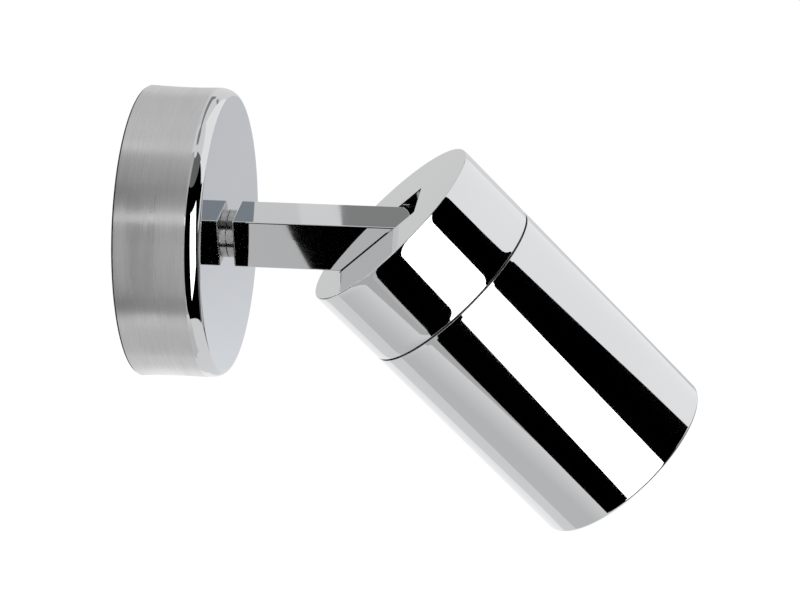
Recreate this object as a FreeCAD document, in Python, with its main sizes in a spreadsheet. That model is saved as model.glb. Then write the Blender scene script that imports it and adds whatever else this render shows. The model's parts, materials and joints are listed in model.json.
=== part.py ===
import FreeCAD, Part
import math
import os
import Sketcher
from FreeCAD import Placement, Rotation, Vector

# Pivoting wall spotlight: a round cup on the wall, a short neck, a square arm
# that swivels about the cup's axis, and a cylinder head that tilts on the arm's end.
# Lengths are in millimetres and angles in degrees.
#
# Part frame: the origin is the centre of the back on the wall, +Z is up, the light
# stands out along -Y and X runs along the wall. The head is drawn at its lowest tilt.
#
# Each piece is drawn in one of two local frames, both with X across:
#   wall frame: local Y is up, local Z stands out from the wall, origin on the wall
#   head frame: local Z runs along the head's axis from the centre of its rear face,
#               local Y is square to it, towards the head's upper side

# ---------------------------------------------------------------- driving sizes

# Clearances
running_gap = 0.05  # round a shaft that turns, on the radius
fit_gap = 0.1  # round a screw or plug that stays put
soft_gap = 0.3  # round a seal next to a part that moves

# Cup on the wall
base_diameter = 85
base_depth = 24.5  # wall to the cup's front face
cover_wall = 1.3
cover_corner = 2.5  # rounding of the front rim
cover_waist = 0.4  # how far the side draws in halfway
gasket_thickness = 0.5
gasket_inset = 0.3
gasket_width = 1.3

# Strap that is screwed to the wall
strap_thickness = 2
strap_width = 25
ear_gap = 1.4  # between an ear and the cup's side
ear_width = 16
ear_height = 14
cable_hole = 16
wall_slot_from_end = 6.3  # strap's end to a slot's centre
wall_slot_width = 4.5
wall_slot_length = 8
locking_screw_size = 4
locking_screw_out = 8

# Terminal block and earth point on the strap
block_width = 30
block_length = 14
block_height = 12
block_up = 19.8  # centre of the block above the axis
pole_pitch = 10
pole_out = 4  # pole's centre above the strap
insert_diameter = 4.4
insert_bore = 2.6
clamp_screw_size = 2.4
clamp_screw_pitch = 7
clamp_head_size = 3.8
block_screw_size = 3
block_screw_head = 5
block_screw_head_height = 1.8
earth_screw_size = 4
earth_screw_head = 7.6
earth_screw_up = -20
earth_washer_thickness = 0.8

# Swivel: hollow stem through the cup, with its washers and nut
stem_diameter = 10
stem_bore = 6.5
stem_grip = 10  # length of stem inside the arm
stem_tail = 3.8  # stem that shows past the nut
neck_diameter = 14
neck_length = 2.1
stiffener_diameter = 46
stiffener_thickness = 2
washer_diameter = 18
bearing_washer_thickness = 1
stop_washer_thickness = 1.2
stop_tab_width = 3
stop_tab_reach = 14.2
stop_peg_diameter = 2.5
stop_peg_radius = 12
spring_washer_height = 1.2
spring_washer_thickness = 0.6
nut_width = 14
nut_thickness = 5
nut_corner_angle = 30  # from the middle of a nut's side to its corner
grub_screw_size = 3
grub_screw_from_end = 5

# Arm
arm_width = 14.5
arm_reach = 49.4  # neck to the head's pivot
arm_bore = 9
arm_edge = 0.4

# Head and its pivot
tilt_down = 47.3  # lowest tilt, below the horizontal
tilt_up = 24.3  # highest tilt, above the horizontal
head_diameter = 60
head_length = 101
pivot_depth = 7  # pivot inside the rear face
pivot_drop = 0.2  # pivot below the head's axis
pivot_pin_diameter = 4
rear_wall = 1.6
cap_wall = 2
cap_length = 25.6
cap_edge = 0.3
joint_gap = 0.5  # the dark line between cap and barrel
spigot_length = 8
spigot_wall = 3
slot_side_gap = 0.75
slot_end_gap = 0.15
seal_thickness = 1.4
seal_position = 4.2  # along the spigot
barrel_wall = 1.9
barrel_lip_thickness = 1.6
barrel_opening = 51.5
barrel_edge = 0.4

# Yoke that joins the rear cap to the pivot pin
yoke_diameter = 49
yoke_thickness = 2
yoke_depth = 12.5  # rear face to the plate
yoke_ear_width = 10
yoke_ear_gap = 0.1  # between an ear's end and the rear wall
yoke_window_height = 24
pin_overhang = 0.4
pivot_washer_diameter = 8
post_diameter = 7
post_spacing = 40
post_screw_size = 3
post_screw_head = 5.6
post_screw_head_height = 2
post_screw_grip = 6

# Lampholder, its bracket and the lamp
bracket_thickness = 1.6
bracket_width = 28
bracket_plate_height = 24
bracket_leg_height = 6.4
bracket_foot_width = 10
holder_diameter = 26
holder_length = 15
holder_screw_spacing = 18
holder_screw_size = 3
holder_screw_head = 5.6
holder_screw_head_height = 2
holder_screw_sink = 6.5
lead_entry = 2.4
lamp_pin_spacing = 10
lamp_pin_diameter = 3.2
lamp_pin_head = 5
lamp_pin_head_height = 2
lamp_pin_length = 6
socket_depth = 8
lamp_neck_diameter = 24.8
lamp_neck_length = 9.5
lamp_diameter = 50
lamp_length = 46.5  # holder to the lamp's front
lamp_shell = 1
lamp_bulge = 48  # radius of the reflector's curve
lamp_glass_thickness = 1.5

# Front lens in the barrel
lens_thickness = 3
lens_gap = 0.3  # round the lens, on the radius
lens_gasket_thickness = 0.6
ring_thickness = 1.6
ring_width = 2

# Inner leads
lead_diameter = 1.6
lead_bend = 5  # room for the bend behind the stem
lead_circle = 2  # leads' distance from the stem's axis
lead_lift = 1.2  # between the leads' bend and the strap
lead_angle = 30  # of the two upper leads in the stem, above the level
lead_side = 0.9  # leads past the pivot pin
lead_pin_gap = 0.15
lead_meet_gap = 0.2  # between two bodies' lead ends


# ---------------------------------------------------------------- sheet

doc = FreeCAD.newDocument("wall_spotlight")
sheet = doc.addObject("Spreadsheet::Sheet", "Sizes")
pieces = []


class Size:
    """A number and the formula that gives it from the sheet's cells."""

    def __init__(self, number, formula):
        self.number = number
        self.formula = formula

    def __add__(self, other):
        other = as_size(other)
        return Size(self.number + other.number, f"({self.formula} + {other.formula})")

    def __sub__(self, other):
        other = as_size(other)
        return Size(self.number - other.number, f"({self.formula} - {other.formula})")

    def __mul__(self, other):
        other = as_size(other)
        return Size(self.number * other.number, f"{self.formula} * {other.formula}")

    def __truediv__(self, other):
        other = as_size(other)
        return Size(self.number / other.number, f"{self.formula} / ({other.formula})")

    def __neg__(self):
        return Size(-self.number, f"(0 - {self.formula})")


def as_size(value):
    return value if isinstance(value, Size) else Size(float(value), f"{value}")


def sine(angle):
    return Size(math.sin(math.radians(angle.number)), f"sin({angle.formula} * 1 deg)")


def cosine(angle):
    return Size(math.cos(math.radians(angle.number)), f"cos({angle.formula} * 1 deg)")


def tangent(angle):
    return Size(math.tan(math.radians(angle.number)), f"tan({angle.formula} * 1 deg)")


def to_cell(alias, number, row):
    """Writes one driving size into the sheet and returns it."""
    sheet.set(f"A{row}", alias)
    sheet.set(f"B{row}", f"{number}")
    sheet.setAlias(f"B{row}", alias)
    return Size(float(number), f"Sizes.{alias}")


# Every plain number above becomes a cell of the sheet, under its own name
plain_numbers = [(name, value) for name, value in globals().items() if type(value) in (int, float)]
for row, (alias, number) in enumerate(plain_numbers, start=1):
    globals()[alias] = to_cell(alias, number, row)

# Worked out once, used by several pieces
base_radius = base_diameter / 2
cover_inner_radius = base_radius - cover_wall
cover_inner_front = base_depth - cover_wall
ear_reach = cover_inner_radius - ear_gap
strap_half_length = ear_reach - strap_thickness
wall_slot_up = strap_half_length - wall_slot_from_end
stem_hole_radius = stem_diameter / 2 + running_gap
arm_start = base_depth + neck_length
pivot_out = arm_start + arm_reach
nose_radius = arm_width / 2
stiffener_back = cover_inner_front - stiffener_thickness
bearing_washer_back = stiffener_back - bearing_washer_thickness
stop_washer_back = bearing_washer_back - stop_washer_thickness
spring_washer_back = stop_washer_back - spring_washer_height
nut_back = spring_washer_back - nut_thickness
stem_back = nut_back - stem_tail
ear_inner = arm_width / 2 + slot_side_gap
ear_outer = ear_inner + yoke_thickness
head_radius = head_diameter / 2
barrel_start = cap_length + joint_gap
barrel_inner_radius = head_radius - barrel_wall
spigot_radius = barrel_inner_radius - running_gap
spigot_inner_radius = spigot_radius - spigot_wall
spigot_end = cap_length + spigot_length
yoke_back = yoke_depth + yoke_thickness
bracket_plate = yoke_back + bracket_leg_height
holder_start = bracket_plate + bracket_thickness
holder_front = holder_start + holder_length
lamp_front = holder_front + lamp_length
lip_back = head_length - barrel_lip_thickness
lens_front = lip_back - lens_gasket_thickness
lens_back = lens_front - lens_thickness

# Centre of the head's rear face in the wall frame
head_out = pivot_out - pivot_depth * cosine(tilt_down) + pivot_drop * sine(tilt_down)
head_up = pivot_depth * sine(tilt_down) + pivot_drop * cosine(tilt_down)

doc.recompute()


# ---------------------------------------------------------------- drawing helpers

def bind(thing, path, size):
    thing.setExpression(path, as_size(size).formula)


def stand_in_wall_frame(thing):
    thing.Placement = Placement(Vector(), Rotation(Vector(1, 0, 0), 90))


def stand_in_head_frame(thing):
    thing.Placement = Placement(
        Vector(0, -head_out.number, head_up.number),
        Rotation(Vector(1, 0, 0), 90 + tilt_down.number),
    )
    bind(thing, "Placement.Base.y", -head_out)
    bind(thing, "Placement.Base.z", head_up)
    bind(thing, "Placement.Rotation.Angle", as_size(90) + tilt_down)


def new_body(label, stand):
    body = doc.addObject("PartDesign::Body", label)
    body.Label = label
    body.AllowCompound = True
    stand(body)
    pieces.append(body)
    return body


def origin_item(body, role):
    return next(item for item in body.Origin.OriginFeatures if item.Role == role)


def new_sketch(body, role, lift=None):
    """Sketch on one of the body's origin planes, moved along the plane's normal."""
    sketch = body.newObject("Sketcher::SketchObject", f"{body.Name}_sketch")
    sketch.AttachmentSupport = [(origin_item(body, role), "")]
    sketch.MapMode = "FlatFace"
    if lift is not None:
        sketch.AttachmentOffset = Placement(Vector(0, 0, as_size(lift).number), Rotation())
        bind(sketch, "AttachmentOffset.Base.z", lift)
    return sketch


def pin_point(sketch, shape, point, across, along):
    """Holds one point of a shape at its distances from the sketch's origin."""
    for axis, axis_line, size in (("DistanceX", -2, across), ("DistanceY", -1, along)):
        size = as_size(size)
        if size.number == 0:
            sketch.addConstraint(Sketcher.Constraint("PointOnObject", shape, point, axis_line))
            continue
        rule = Sketcher.Constraint(axis, -1, 1, shape, point, size.number)
        bind(sketch, f"Constraints[{sketch.addConstraint(rule)}]", size)


def circle(sketch, across, along, radius):
    centre = Vector(as_size(across).number, as_size(along).number, 0)
    shape = sketch.addGeometry(Part.Circle(centre, Vector(0, 0, 1), as_size(radius).number))
    pin_point(sketch, shape, 3, across, along)
    rule = Sketcher.Constraint("Radius", shape, as_size(radius).number)
    bind(sketch, f"Constraints[{sketch.addConstraint(rule)}]", radius)


def curved_edge(start, end, radius, centre_side):
    """Arc from start to end whose centre lies to the left (1) or right (-1) of the way."""
    way = end - start
    middle = (start + end) / 2
    left = Vector(-way.y, way.x, 0).normalize()
    reach = math.sqrt(radius ** 2 - (way.Length / 2) ** 2)
    centre = middle + left * reach * centre_side
    first, last = (start, end) if centre_side > 0 else (end, start)
    angles = [math.atan2(point.y - centre.y, point.x - centre.x) for point in (first, last)]
    return Part.ArcOfCircle(Part.Circle(centre, Vector(0, 0, 1), radius), *angles)


def outline(sketch, corners, bends=None):
    """Closed outline. bends gives (radius, centre side) for the edges that are arcs."""
    bends = bends or {}
    points = [Vector(as_size(x).number, as_size(y).number, 0) for x, y in corners]
    for index, (across, along) in enumerate(corners):
        start, end = points[index], points[(index + 1) % len(points)]
        first_point = 1
        if index in bends:
            radius, side = bends[index]
            shape = sketch.addGeometry(curved_edge(start, end, radius.number, side))
            rule = Sketcher.Constraint("Radius", shape, radius.number)
            bind(sketch, f"Constraints[{sketch.addConstraint(rule)}]", radius)
            first_point = 1 if side > 0 else 2
        else:
            shape = sketch.addGeometry(Part.LineSegment(start, end))
        pin_point(sketch, shape, first_point, across, along)
    for index in range(len(corners)):
        following = (index + 1) % len(corners)
        last_point = 1 if index in bends and bends[index][1] < 0 else 2
        first_point = 2 if following in bends and bends[following][1] < 0 else 1
        sketch.addConstraint(
            Sketcher.Constraint("Coincident", index, last_point, following, first_point)
        )


def box_outline(sketch, left, right, bottom, top):
    outline(sketch, [(left, bottom), (right, bottom), (right, top), (left, top)])


def finish_feature(feature):
    doc.recompute()
    if feature.Shape.isNull() or not feature.Shape.isValid():
        raise ValueError(f"{feature.Name} made no good solid")
    return feature


def pad(body, sketch, length, both_ways=False, reverse=False):
    feature = body.newObject("PartDesign::Pad", f"{body.Name}_pad")
    feature.Profile = sketch
    bind(feature, "Length", length)
    feature.Midplane = both_ways
    feature.Reversed = reverse
    return finish_feature(feature)


def pocket(body, sketch, length, both_ways=False, reverse=False):
    """Cuts the sketch out of the body, and stops if nothing was cut."""
    before = body.Shape.Volume
    feature = body.newObject("PartDesign::Pocket", f"{body.Name}_pocket")
    feature.Profile = sketch
    bind(feature, "Length", length)
    feature.Midplane = both_ways
    feature.Reversed = reverse
    finish_feature(feature)
    if feature.Shape.Volume > before - 1e-6:
        raise ValueError(f"{feature.Name} cut nothing")
    return feature


def turned(body, corners, bends=None):
    """Solid of revolution about the body's Z axis; corners are (radius, along)."""
    sketch = new_sketch(body, "XZ_Plane")
    outline(sketch, corners, bends)
    feature = body.newObject("PartDesign::Revolution", f"{body.Name}_turn")
    feature.Profile = sketch
    feature.ReferenceAxis = (origin_item(body, "Z_Axis"), [""])
    feature.Angle = 360
    return finish_feature(feature)


def ring(body, outer, inner, back, front):
    return turned(body, [(inner, back), (outer, back), (outer, front), (inner, front)])


def plain_cylinder(body, radius, back, front, across=0, up=0):
    sketch = new_sketch(body, "XY_Plane", back)
    circle(sketch, across, up, radius)
    return pad(body, sketch, front - back)


def block(body, left, right, bottom, top, back, front):
    sketch = new_sketch(body, "XY_Plane", back)
    box_outline(sketch, left, right, bottom, top)
    return pad(body, sketch, front - back)


def hole(body, across, up, radius, back, front):
    """Round hole along local Z from back to front."""
    sketch = new_sketch(body, "XY_Plane", back)
    circle(sketch, across, up, radius)
    return pocket(body, sketch, as_size(front) - back, reverse=True)


def mirrored(body, features, role="YZ_Plane"):
    feature = body.newObject("PartDesign::Mirrored", f"{body.Name}_mirror")
    feature.Originals = features
    feature.MirrorPlane = (origin_item(body, role), [""])
    body.Tip = feature
    return finish_feature(feature)


def repeated(body, features, axis_role, span, count):
    """Copies the features along an axis, count in all, spread over the span."""
    feature = body.newObject("PartDesign::LinearPattern", f"{body.Name}_row")
    feature.Originals = features
    feature.Direction = (origin_item(body, axis_role), [""])
    bind(feature, "Length", span)
    feature.Occurrences = count
    body.Tip = feature
    return finish_feature(feature)


def edges_where(feature, wanted):
    return [
        f"Edge{index + 1}" for index, edge in enumerate(feature.Shape.Edges) if wanted(edge)
    ]


def circle_at(radius, along):
    """Picks the full circles of a radius at a place along local Z."""
    def wanted(edge):
        curve = edge.Curve
        if not isinstance(curve, Part.Circle):
            return False
        same_radius = abs(curve.Radius - as_size(radius).number) < 1e-4
        return same_radius and abs(curve.Center.z - as_size(along).number) < 1e-4
    return wanted


def rounded(body, feature, wanted, radius):
    """Rounds the picked edges."""
    names = edges_where(feature, wanted)
    if not names:
        raise ValueError(f"{body.Label} has no such edge to round")
    fillet = body.newObject("PartDesign::Fillet", f"{body.Name}_round")
    fillet.Base = (feature, names)
    bind(fillet, "Radius", radius)
    return finish_feature(fillet)


def bevelled(body, feature, wanted, width):
    names = edges_where(feature, wanted)
    if not names:
        raise ValueError(f"{body.Label} has no such edge to bevel")
    chamfer = body.newObject("PartDesign::Chamfer", f"{body.Name}_bevel")
    chamfer.Base = (feature, names)
    bind(chamfer, "Size", width)
    return finish_feature(chamfer)


def lead(points):
    """Round lead along straight runs joined by tangent arcs, in a local frame."""
    places = [Vector(*(as_size(part).number for part in point)) for point in points]
    radius = lead_diameter.number / 2
    edges = []
    here = places[0]
    for before, corner, after in zip(places, places[1:], places[2:]):
        incoming = (corner - before).normalize()
        outgoing = (after - corner).normalize()
        turn = incoming.getAngle(outgoing)
        run = min((corner - before).Length, (after - corner).Length)
        cut = 0.45 * run
        arc_start = corner - incoming * cut
        arc_end = corner + outgoing * cut
        inward = (outgoing - incoming).normalize()
        bend_radius = cut / math.tan(turn / 2)
        sagitta = bend_radius / math.cos(turn / 2) - bend_radius
        edges.append(Part.LineSegment(here, arc_start).toShape())
        edges.append(Part.Arc(arc_start, corner + inward * sagitta, arc_end).toShape())
        here = arc_end
    edges.append(Part.LineSegment(here, places[-1]).toShape())
    path = Part.Wire(edges)
    start_way = (places[1] - places[0]).normalize()
    section = Part.Wire(Part.makeCircle(radius, places[0], start_way))
    tube = path.makePipeShell([section], True, False)
    expected = math.pi * radius ** 2 * path.Length
    if abs(tube.Volume - expected) > 0.02 * expected:
        raise ValueError("a lead's volume isn't its section times its length")
    return tube


def new_lead(label, stand, points):
    piece = doc.addObject("Part::Feature", label)
    piece.Label = label
    piece.Shape = lead(points)
    stand(piece)
    pieces.append(piece)


# ---------------------------------------------------------------- wall base

def make_base_cover():
    body = new_body("base_cover", stand_in_wall_frame)
    side_depth = base_depth - gasket_thickness
    waist_radius = (side_depth * side_depth / 4 + cover_waist * cover_waist) / (cover_waist * 2)
    shell = turned(
        body,
        [
            (base_radius, gasket_thickness),
            (base_radius, base_depth),
            (stem_hole_radius, base_depth),
            (stem_hole_radius, cover_inner_front),
            (cover_inner_radius, cover_inner_front),
            (cover_inner_radius, gasket_thickness),
        ],
        {0: (waist_radius, -1)},
    )
    rim = rounded(body, shell, circle_at(base_radius, base_depth), cover_corner)
    rounded(
        body, rim, circle_at(cover_inner_radius, cover_inner_front), cover_corner - cover_wall
    )
    screw_hole = new_sketch(body, "XZ_Plane", cover_inner_radius - cover_wall * 4)
    circle(screw_hole, 0, locking_screw_out, locking_screw_size / 2 + fit_gap)
    pocket(body, screw_hole, cover_wall * 8, reverse=True)


def make_wall_gasket():
    body = new_body("wall_gasket", stand_in_wall_frame)
    outer = base_radius - gasket_inset
    ring(body, outer, outer - gasket_width, 0, gasket_thickness)


def make_wall_bracket():
    body = new_body("wall_bracket", stand_in_wall_frame)
    half_width = strap_width / 2
    half_length = strap_half_length
    ear_half = ear_width / 2
    sketch = new_sketch(body, "XY_Plane")
    outline(sketch, [
        (-half_width, -half_length), (-ear_half, -half_length), (-ear_half, -ear_reach),
        (ear_half, -ear_reach), (ear_half, -half_length), (half_width, -half_length),
        (half_width, half_length), (ear_half, half_length), (ear_half, ear_reach),
        (-ear_half, ear_reach), (-ear_half, half_length), (-half_width, half_length),
    ])
    pad(body, sketch, strap_thickness)
    inner = ear_reach - strap_thickness
    upper_ear = block(body, -ear_half, ear_half, inner, ear_reach, strap_thickness, ear_height)
    mirrored(body, [upper_ear], "XZ_Plane")
    hole(body, 0, 0, cable_hole / 2, 0, strap_thickness)
    slot_sketch = new_sketch(body, "XY_Plane")
    wall_slot(slot_sketch)
    upper_slot = pocket(body, slot_sketch, strap_thickness, reverse=True)
    mirrored(body, [upper_slot], "XZ_Plane")
    hole(body, 0, earth_screw_up, earth_screw_size / 2 + running_gap, 0, strap_thickness)
    for side in (-1, 1):
        hole(body, pole_pitch / 2 * side, block_up, block_screw_size / 2 + running_gap,
             0, strap_thickness)
    screw_hole = new_sketch(body, "XZ_Plane", inner - strap_thickness)
    circle(screw_hole, 0, locking_screw_out, locking_screw_size / 2 + running_gap)
    pocket(body, screw_hole, strap_thickness * 3, reverse=True)


def wall_slot(sketch):
    """Upright slot in the strap: two straight sides and two round ends."""
    half = (wall_slot_length - wall_slot_width) / 2
    end_radius = wall_slot_width / 2
    low = wall_slot_up - half
    high = wall_slot_up + half
    right = sketch.addGeometry(Part.LineSegment(
        Vector(end_radius.number, low.number, 0), Vector(end_radius.number, high.number, 0)))
    top = sketch.addGeometry(Part.ArcOfCircle(
        Part.Circle(Vector(0, high.number, 0), Vector(0, 0, 1), end_radius.number),
        0, math.pi))
    left = sketch.addGeometry(Part.LineSegment(
        Vector(-end_radius.number, high.number, 0), Vector(-end_radius.number, low.number, 0)))
    bottom = sketch.addGeometry(Part.ArcOfCircle(
        Part.Circle(Vector(0, low.number, 0), Vector(0, 0, 1), end_radius.number),
        math.pi, math.pi * 2))
    for shape, point, other, other_point in (
            (right, 2, top, 1), (top, 2, left, 1), (left, 2, bottom, 1), (bottom, 2, right, 1)):
        sketch.addConstraint(Sketcher.Constraint("Tangent", shape, point, other, other_point))
    pin_point(sketch, top, 3, 0, high)
    pin_point(sketch, bottom, 3, 0, low)
    rule = Sketcher.Constraint("Radius", top, end_radius.number)
    bind(sketch, f"Constraints[{sketch.addConstraint(rule)}]", end_radius)


def make_locking_screw():
    body = new_body("cover_locking_screw", stand_in_wall_frame)
    start = ear_reach - strap_thickness - strap_thickness / 2
    sketch = new_sketch(body, "XZ_Plane", start)
    circle(sketch, 0, locking_screw_out, locking_screw_size / 2)
    pad(body, sketch, base_radius - cover_waist - fit_gap - start)


def make_cover_stiffener():
    body = new_body("cover_stiffener", stand_in_wall_frame)
    ring(body, stiffener_diameter / 2, stem_hole_radius, stiffener_back, cover_inner_front)
    hole(body, 0, -stop_peg_radius, stop_peg_diameter / 2, stiffener_back, cover_inner_front)


def make_stop_peg():
    body = new_body("swivel_stop_peg", stand_in_wall_frame)
    plain_cylinder(body, stop_peg_diameter / 2, stop_washer_back - running_gap * 4,
                   cover_inner_front, 0, -stop_peg_radius)


def pole_out_from_wall():
    return strap_thickness + pole_out


def make_terminal_block():
    body = new_body("terminal_block", stand_in_wall_frame)
    low = block_up - block_length / 2
    high = block_up + block_length / 2
    front = strap_thickness + block_height
    block(body, -block_width / 2, block_width / 2, low, high, strap_thickness, front)
    bore = new_sketch(body, "XZ_Plane", -high)
    circle(bore, -pole_pitch, pole_out_from_wall(), insert_diameter / 2 + fit_gap)
    bore_cut = pocket(body, bore, block_length, reverse=True)
    wells = []
    for side in (-1, 1):
        wells.append(hole(body, -pole_pitch, block_up + clamp_screw_pitch / 2 * side,
                          clamp_head_size / 2 + fit_gap, pole_out_from_wall(), front))
    repeated(body, [bore_cut] + wells, "X_Axis", pole_pitch * 2, 3)
    for side in (-1, 1):
        across = pole_pitch / 2 * side
        hole(body, across, block_up, block_screw_size / 2 + fit_gap, strap_thickness, front)
        hole(body, across, block_up, block_screw_head / 2 + fit_gap,
             front - block_screw_head_height, front)


def make_terminal_inserts():
    body = new_body("terminal_inserts", stand_in_wall_frame)
    half_length = block_length / 2 - cover_wall
    sketch = new_sketch(body, "XZ_Plane", -(block_up + half_length))
    circle(sketch, -pole_pitch, pole_out_from_wall(), insert_diameter / 2)
    circle(sketch, -pole_pitch, pole_out_from_wall(), insert_bore / 2)
    tube = pad(body, sketch, half_length * 2)
    threads = []
    for side in (-1, 1):
        threads.append(hole(body, -pole_pitch, block_up + clamp_screw_pitch / 2 * side,
                            clamp_screw_size / 2 + running_gap, pole_out_from_wall(),
                            pole_out_from_wall() + insert_diameter))
    repeated(body, [tube] + threads, "X_Axis", pole_pitch * 2, 3)


def make_terminal_screws():
    body = new_body("terminal_screws", stand_in_wall_frame)
    tip = pole_out_from_wall() + lead_diameter / 2
    shoulder = pole_out_from_wall() + insert_diameter / 2 + clamp_screw_size / 2
    features = []
    for side in (-1, 1):
        up = block_up + clamp_screw_pitch / 2 * side
        features.append(plain_cylinder(body, clamp_screw_size / 2, tip, shoulder,
                                       -pole_pitch, up))
        features.append(plain_cylinder(body, clamp_head_size / 2, shoulder,
                                       shoulder + clamp_screw_size, -pole_pitch, up))
    repeated(body, features, "X_Axis", pole_pitch * 2, 3)


def make_block_screws():
    body = new_body("terminal_fixing_screws", stand_in_wall_frame)
    front = strap_thickness + block_height
    across = pole_pitch / 2
    shank = plain_cylinder(body, block_screw_size / 2, running_gap * 4,
                           front - block_screw_head_height, -across, block_up)
    head = plain_cylinder(body, block_screw_head / 2, front - block_screw_head_height,
                          front - running_gap * 4, -across, block_up)
    mirrored(body, [shank, head])


def make_earth_point():
    washer = new_body("earth_clamp_washer", stand_in_wall_frame)
    front = strap_thickness + earth_washer_thickness
    sketch = new_sketch(washer, "XY_Plane", strap_thickness)
    circle(sketch, 0, earth_screw_up, earth_screw_head / 2 + earth_washer_thickness)
    circle(sketch, 0, earth_screw_up, earth_screw_size / 2 + fit_gap)
    pad(washer, sketch, earth_washer_thickness)
    screw = new_body("earth_screw", stand_in_wall_frame)
    plain_cylinder(screw, earth_screw_size / 2, running_gap * 4, front, 0, earth_screw_up)
    head = plain_cylinder(screw, earth_screw_head / 2, front, front + earth_screw_size / 2,
                          0, earth_screw_up)
    driver = new_sketch(screw, "XY_Plane", front + earth_screw_size / 2)
    box_outline(driver, -earth_screw_head / 2, earth_screw_head / 2,
                earth_screw_up - earth_washer_thickness / 2,
                earth_screw_up + earth_washer_thickness / 2)
    pocket(screw, driver, earth_washer_thickness)
    return head


def stem_lead_places():
    """Where the three leads lie in the stem: (across, up)."""
    across = lead_circle * cosine(lead_angle)
    up = lead_circle * sine(lead_angle)
    return (-across, up), (as_size(0), -lead_circle), (across, up)


def stem_lead_end():
    """Place along the swivel axis where the base's leads meet the arm's leads."""
    return stop_washer_back


def make_base_leads():
    """Leads from the terminal block round into the stem's back end."""
    entry = block_up - block_length / 2 + cover_wall * 2
    bend_out = strap_thickness + lead_lift + lead_diameter / 2
    meet = stem_lead_end() - lead_meet_gap
    live, earth, neutral = stem_lead_places()
    for label, side, (across, up) in (
            ("base_lead_live", -1, live), ("base_lead_neutral", 1, neutral)):
        new_lead(label, stand_in_wall_frame, [
            (pole_pitch * side, entry, pole_out_from_wall()),
            (pole_pitch * side, entry - lead_bend * 2, bend_out),
            (across, up, bend_out),
            (across, up, meet),
        ])
    new_lead("base_lead_earth", stand_in_wall_frame, [
        (0, entry, pole_out_from_wall()),
        (earth[0], earth[1], bend_out),
        (earth[0], earth[1], meet),
    ])


# ---------------------------------------------------------------- arm

def make_neck_collar():
    body = new_body("neck_collar", stand_in_wall_frame)
    ring(body, neck_diameter / 2, stem_hole_radius, base_depth + running_gap, arm_start)


def make_swivel_stem():
    body = new_body("swivel_stem", stand_in_wall_frame)
    ring(body, stem_diameter / 2, stem_bore / 2, stem_back, arm_start + stem_grip)


def make_swivel_washers():
    bearing = new_body("swivel_bearing_washer", stand_in_wall_frame)
    ring(bearing, washer_diameter / 2, stem_hole_radius, bearing_washer_back, stiffener_back)
    stop = new_body("swivel_stop_washer", stand_in_wall_frame)
    ring(stop, washer_diameter / 2, stem_hole_radius, stop_washer_back, bearing_washer_back)
    block(stop, -stop_tab_width / 2, stop_tab_width / 2, washer_diameter / 2 - stop_tab_width,
          stop_tab_reach, stop_washer_back, bearing_washer_back)
    spring = new_body("swivel_spring_washer", stand_in_wall_frame)
    outer = washer_diameter / 2
    rise = spring_washer_height - spring_washer_thickness
    turned(spring, [
        (stem_hole_radius, spring_washer_back),
        (stem_hole_radius, spring_washer_back + spring_washer_thickness),
        (outer, stop_washer_back),
        (outer, spring_washer_back + rise),
    ])


def make_swivel_nut():
    body = new_body("swivel_nut", stand_in_wall_frame)
    corner = nut_width / 2 / cosine(nut_corner_angle)
    half_side = nut_width / 2 * tangent(nut_corner_angle)
    flat = nut_width / 2
    sketch = new_sketch(body, "XY_Plane", nut_back)
    outline(sketch, [
        (flat, -half_side), (flat, half_side), (0, corner),
        (-flat, half_side), (-flat, -half_side), (0, -corner),
    ])
    pad(body, sketch, nut_thickness)
    hole(body, 0, 0, stem_hole_radius, nut_back, spring_washer_back)


def make_arm_bar():
    body = new_body("arm_bar", stand_in_wall_frame)
    half = arm_width / 2
    side = new_sketch(body, "YZ_Plane")
    box_outline(side, -half, half, arm_start, pivot_out)
    pad(body, side, arm_width, both_ways=True)
    nose = new_sketch(body, "YZ_Plane")
    circle(nose, 0, pivot_out, nose_radius)
    solid = pad(body, nose, arm_width, both_ways=True)

    def outer_edge(edge):
        box = edge.BoundBox
        side_edge = box.XLength < 1e-6 and abs(abs(box.XMin) - half.number) < 1e-6
        end_edge = box.ZLength < 1e-6 and abs(box.ZMin - arm_start.number) < 1e-6
        return side_edge or end_edge

    rounded(body, solid, outer_edge, arm_edge)
    hole(body, 0, 0, stem_hole_radius, arm_start, arm_start + stem_grip)
    hole(body, 0, 0, arm_bore / 2, arm_start + stem_grip, pivot_out + nose_radius)
    pin_hole = new_sketch(body, "YZ_Plane")
    circle(pin_hole, 0, pivot_out, pivot_pin_diameter / 2 + running_gap)
    pocket(body, pin_hole, arm_width, both_ways=True)
    grub_hole = new_sketch(body, "XZ_Plane", stem_diameter / 2 - running_gap)
    circle(grub_hole, 0, arm_start + grub_screw_from_end, grub_screw_size / 2 + running_gap)
    pocket(body, grub_hole, arm_width / 2, reverse=True)


def make_stem_grub_screw():
    body = new_body("stem_grub_screw", stand_in_wall_frame)
    start = stem_diameter / 2 + running_gap
    sketch = new_sketch(body, "XZ_Plane", start)
    circle(sketch, 0, arm_start + grub_screw_from_end, grub_screw_size / 2)
    pad(body, sketch, arm_width / 2 - running_gap - start)


def pin_lead_up():
    """Distance of a lead from the arm's axis where it passes the pivot pin."""
    return pivot_pin_diameter / 2 + running_gap + lead_diameter / 2 + lead_pin_gap


def nose_lead_end():
    """How far past the pivot the arm's leads run, so that they stay inside the nose."""
    return nose_radius - lead_pin_gap * 8


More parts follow.
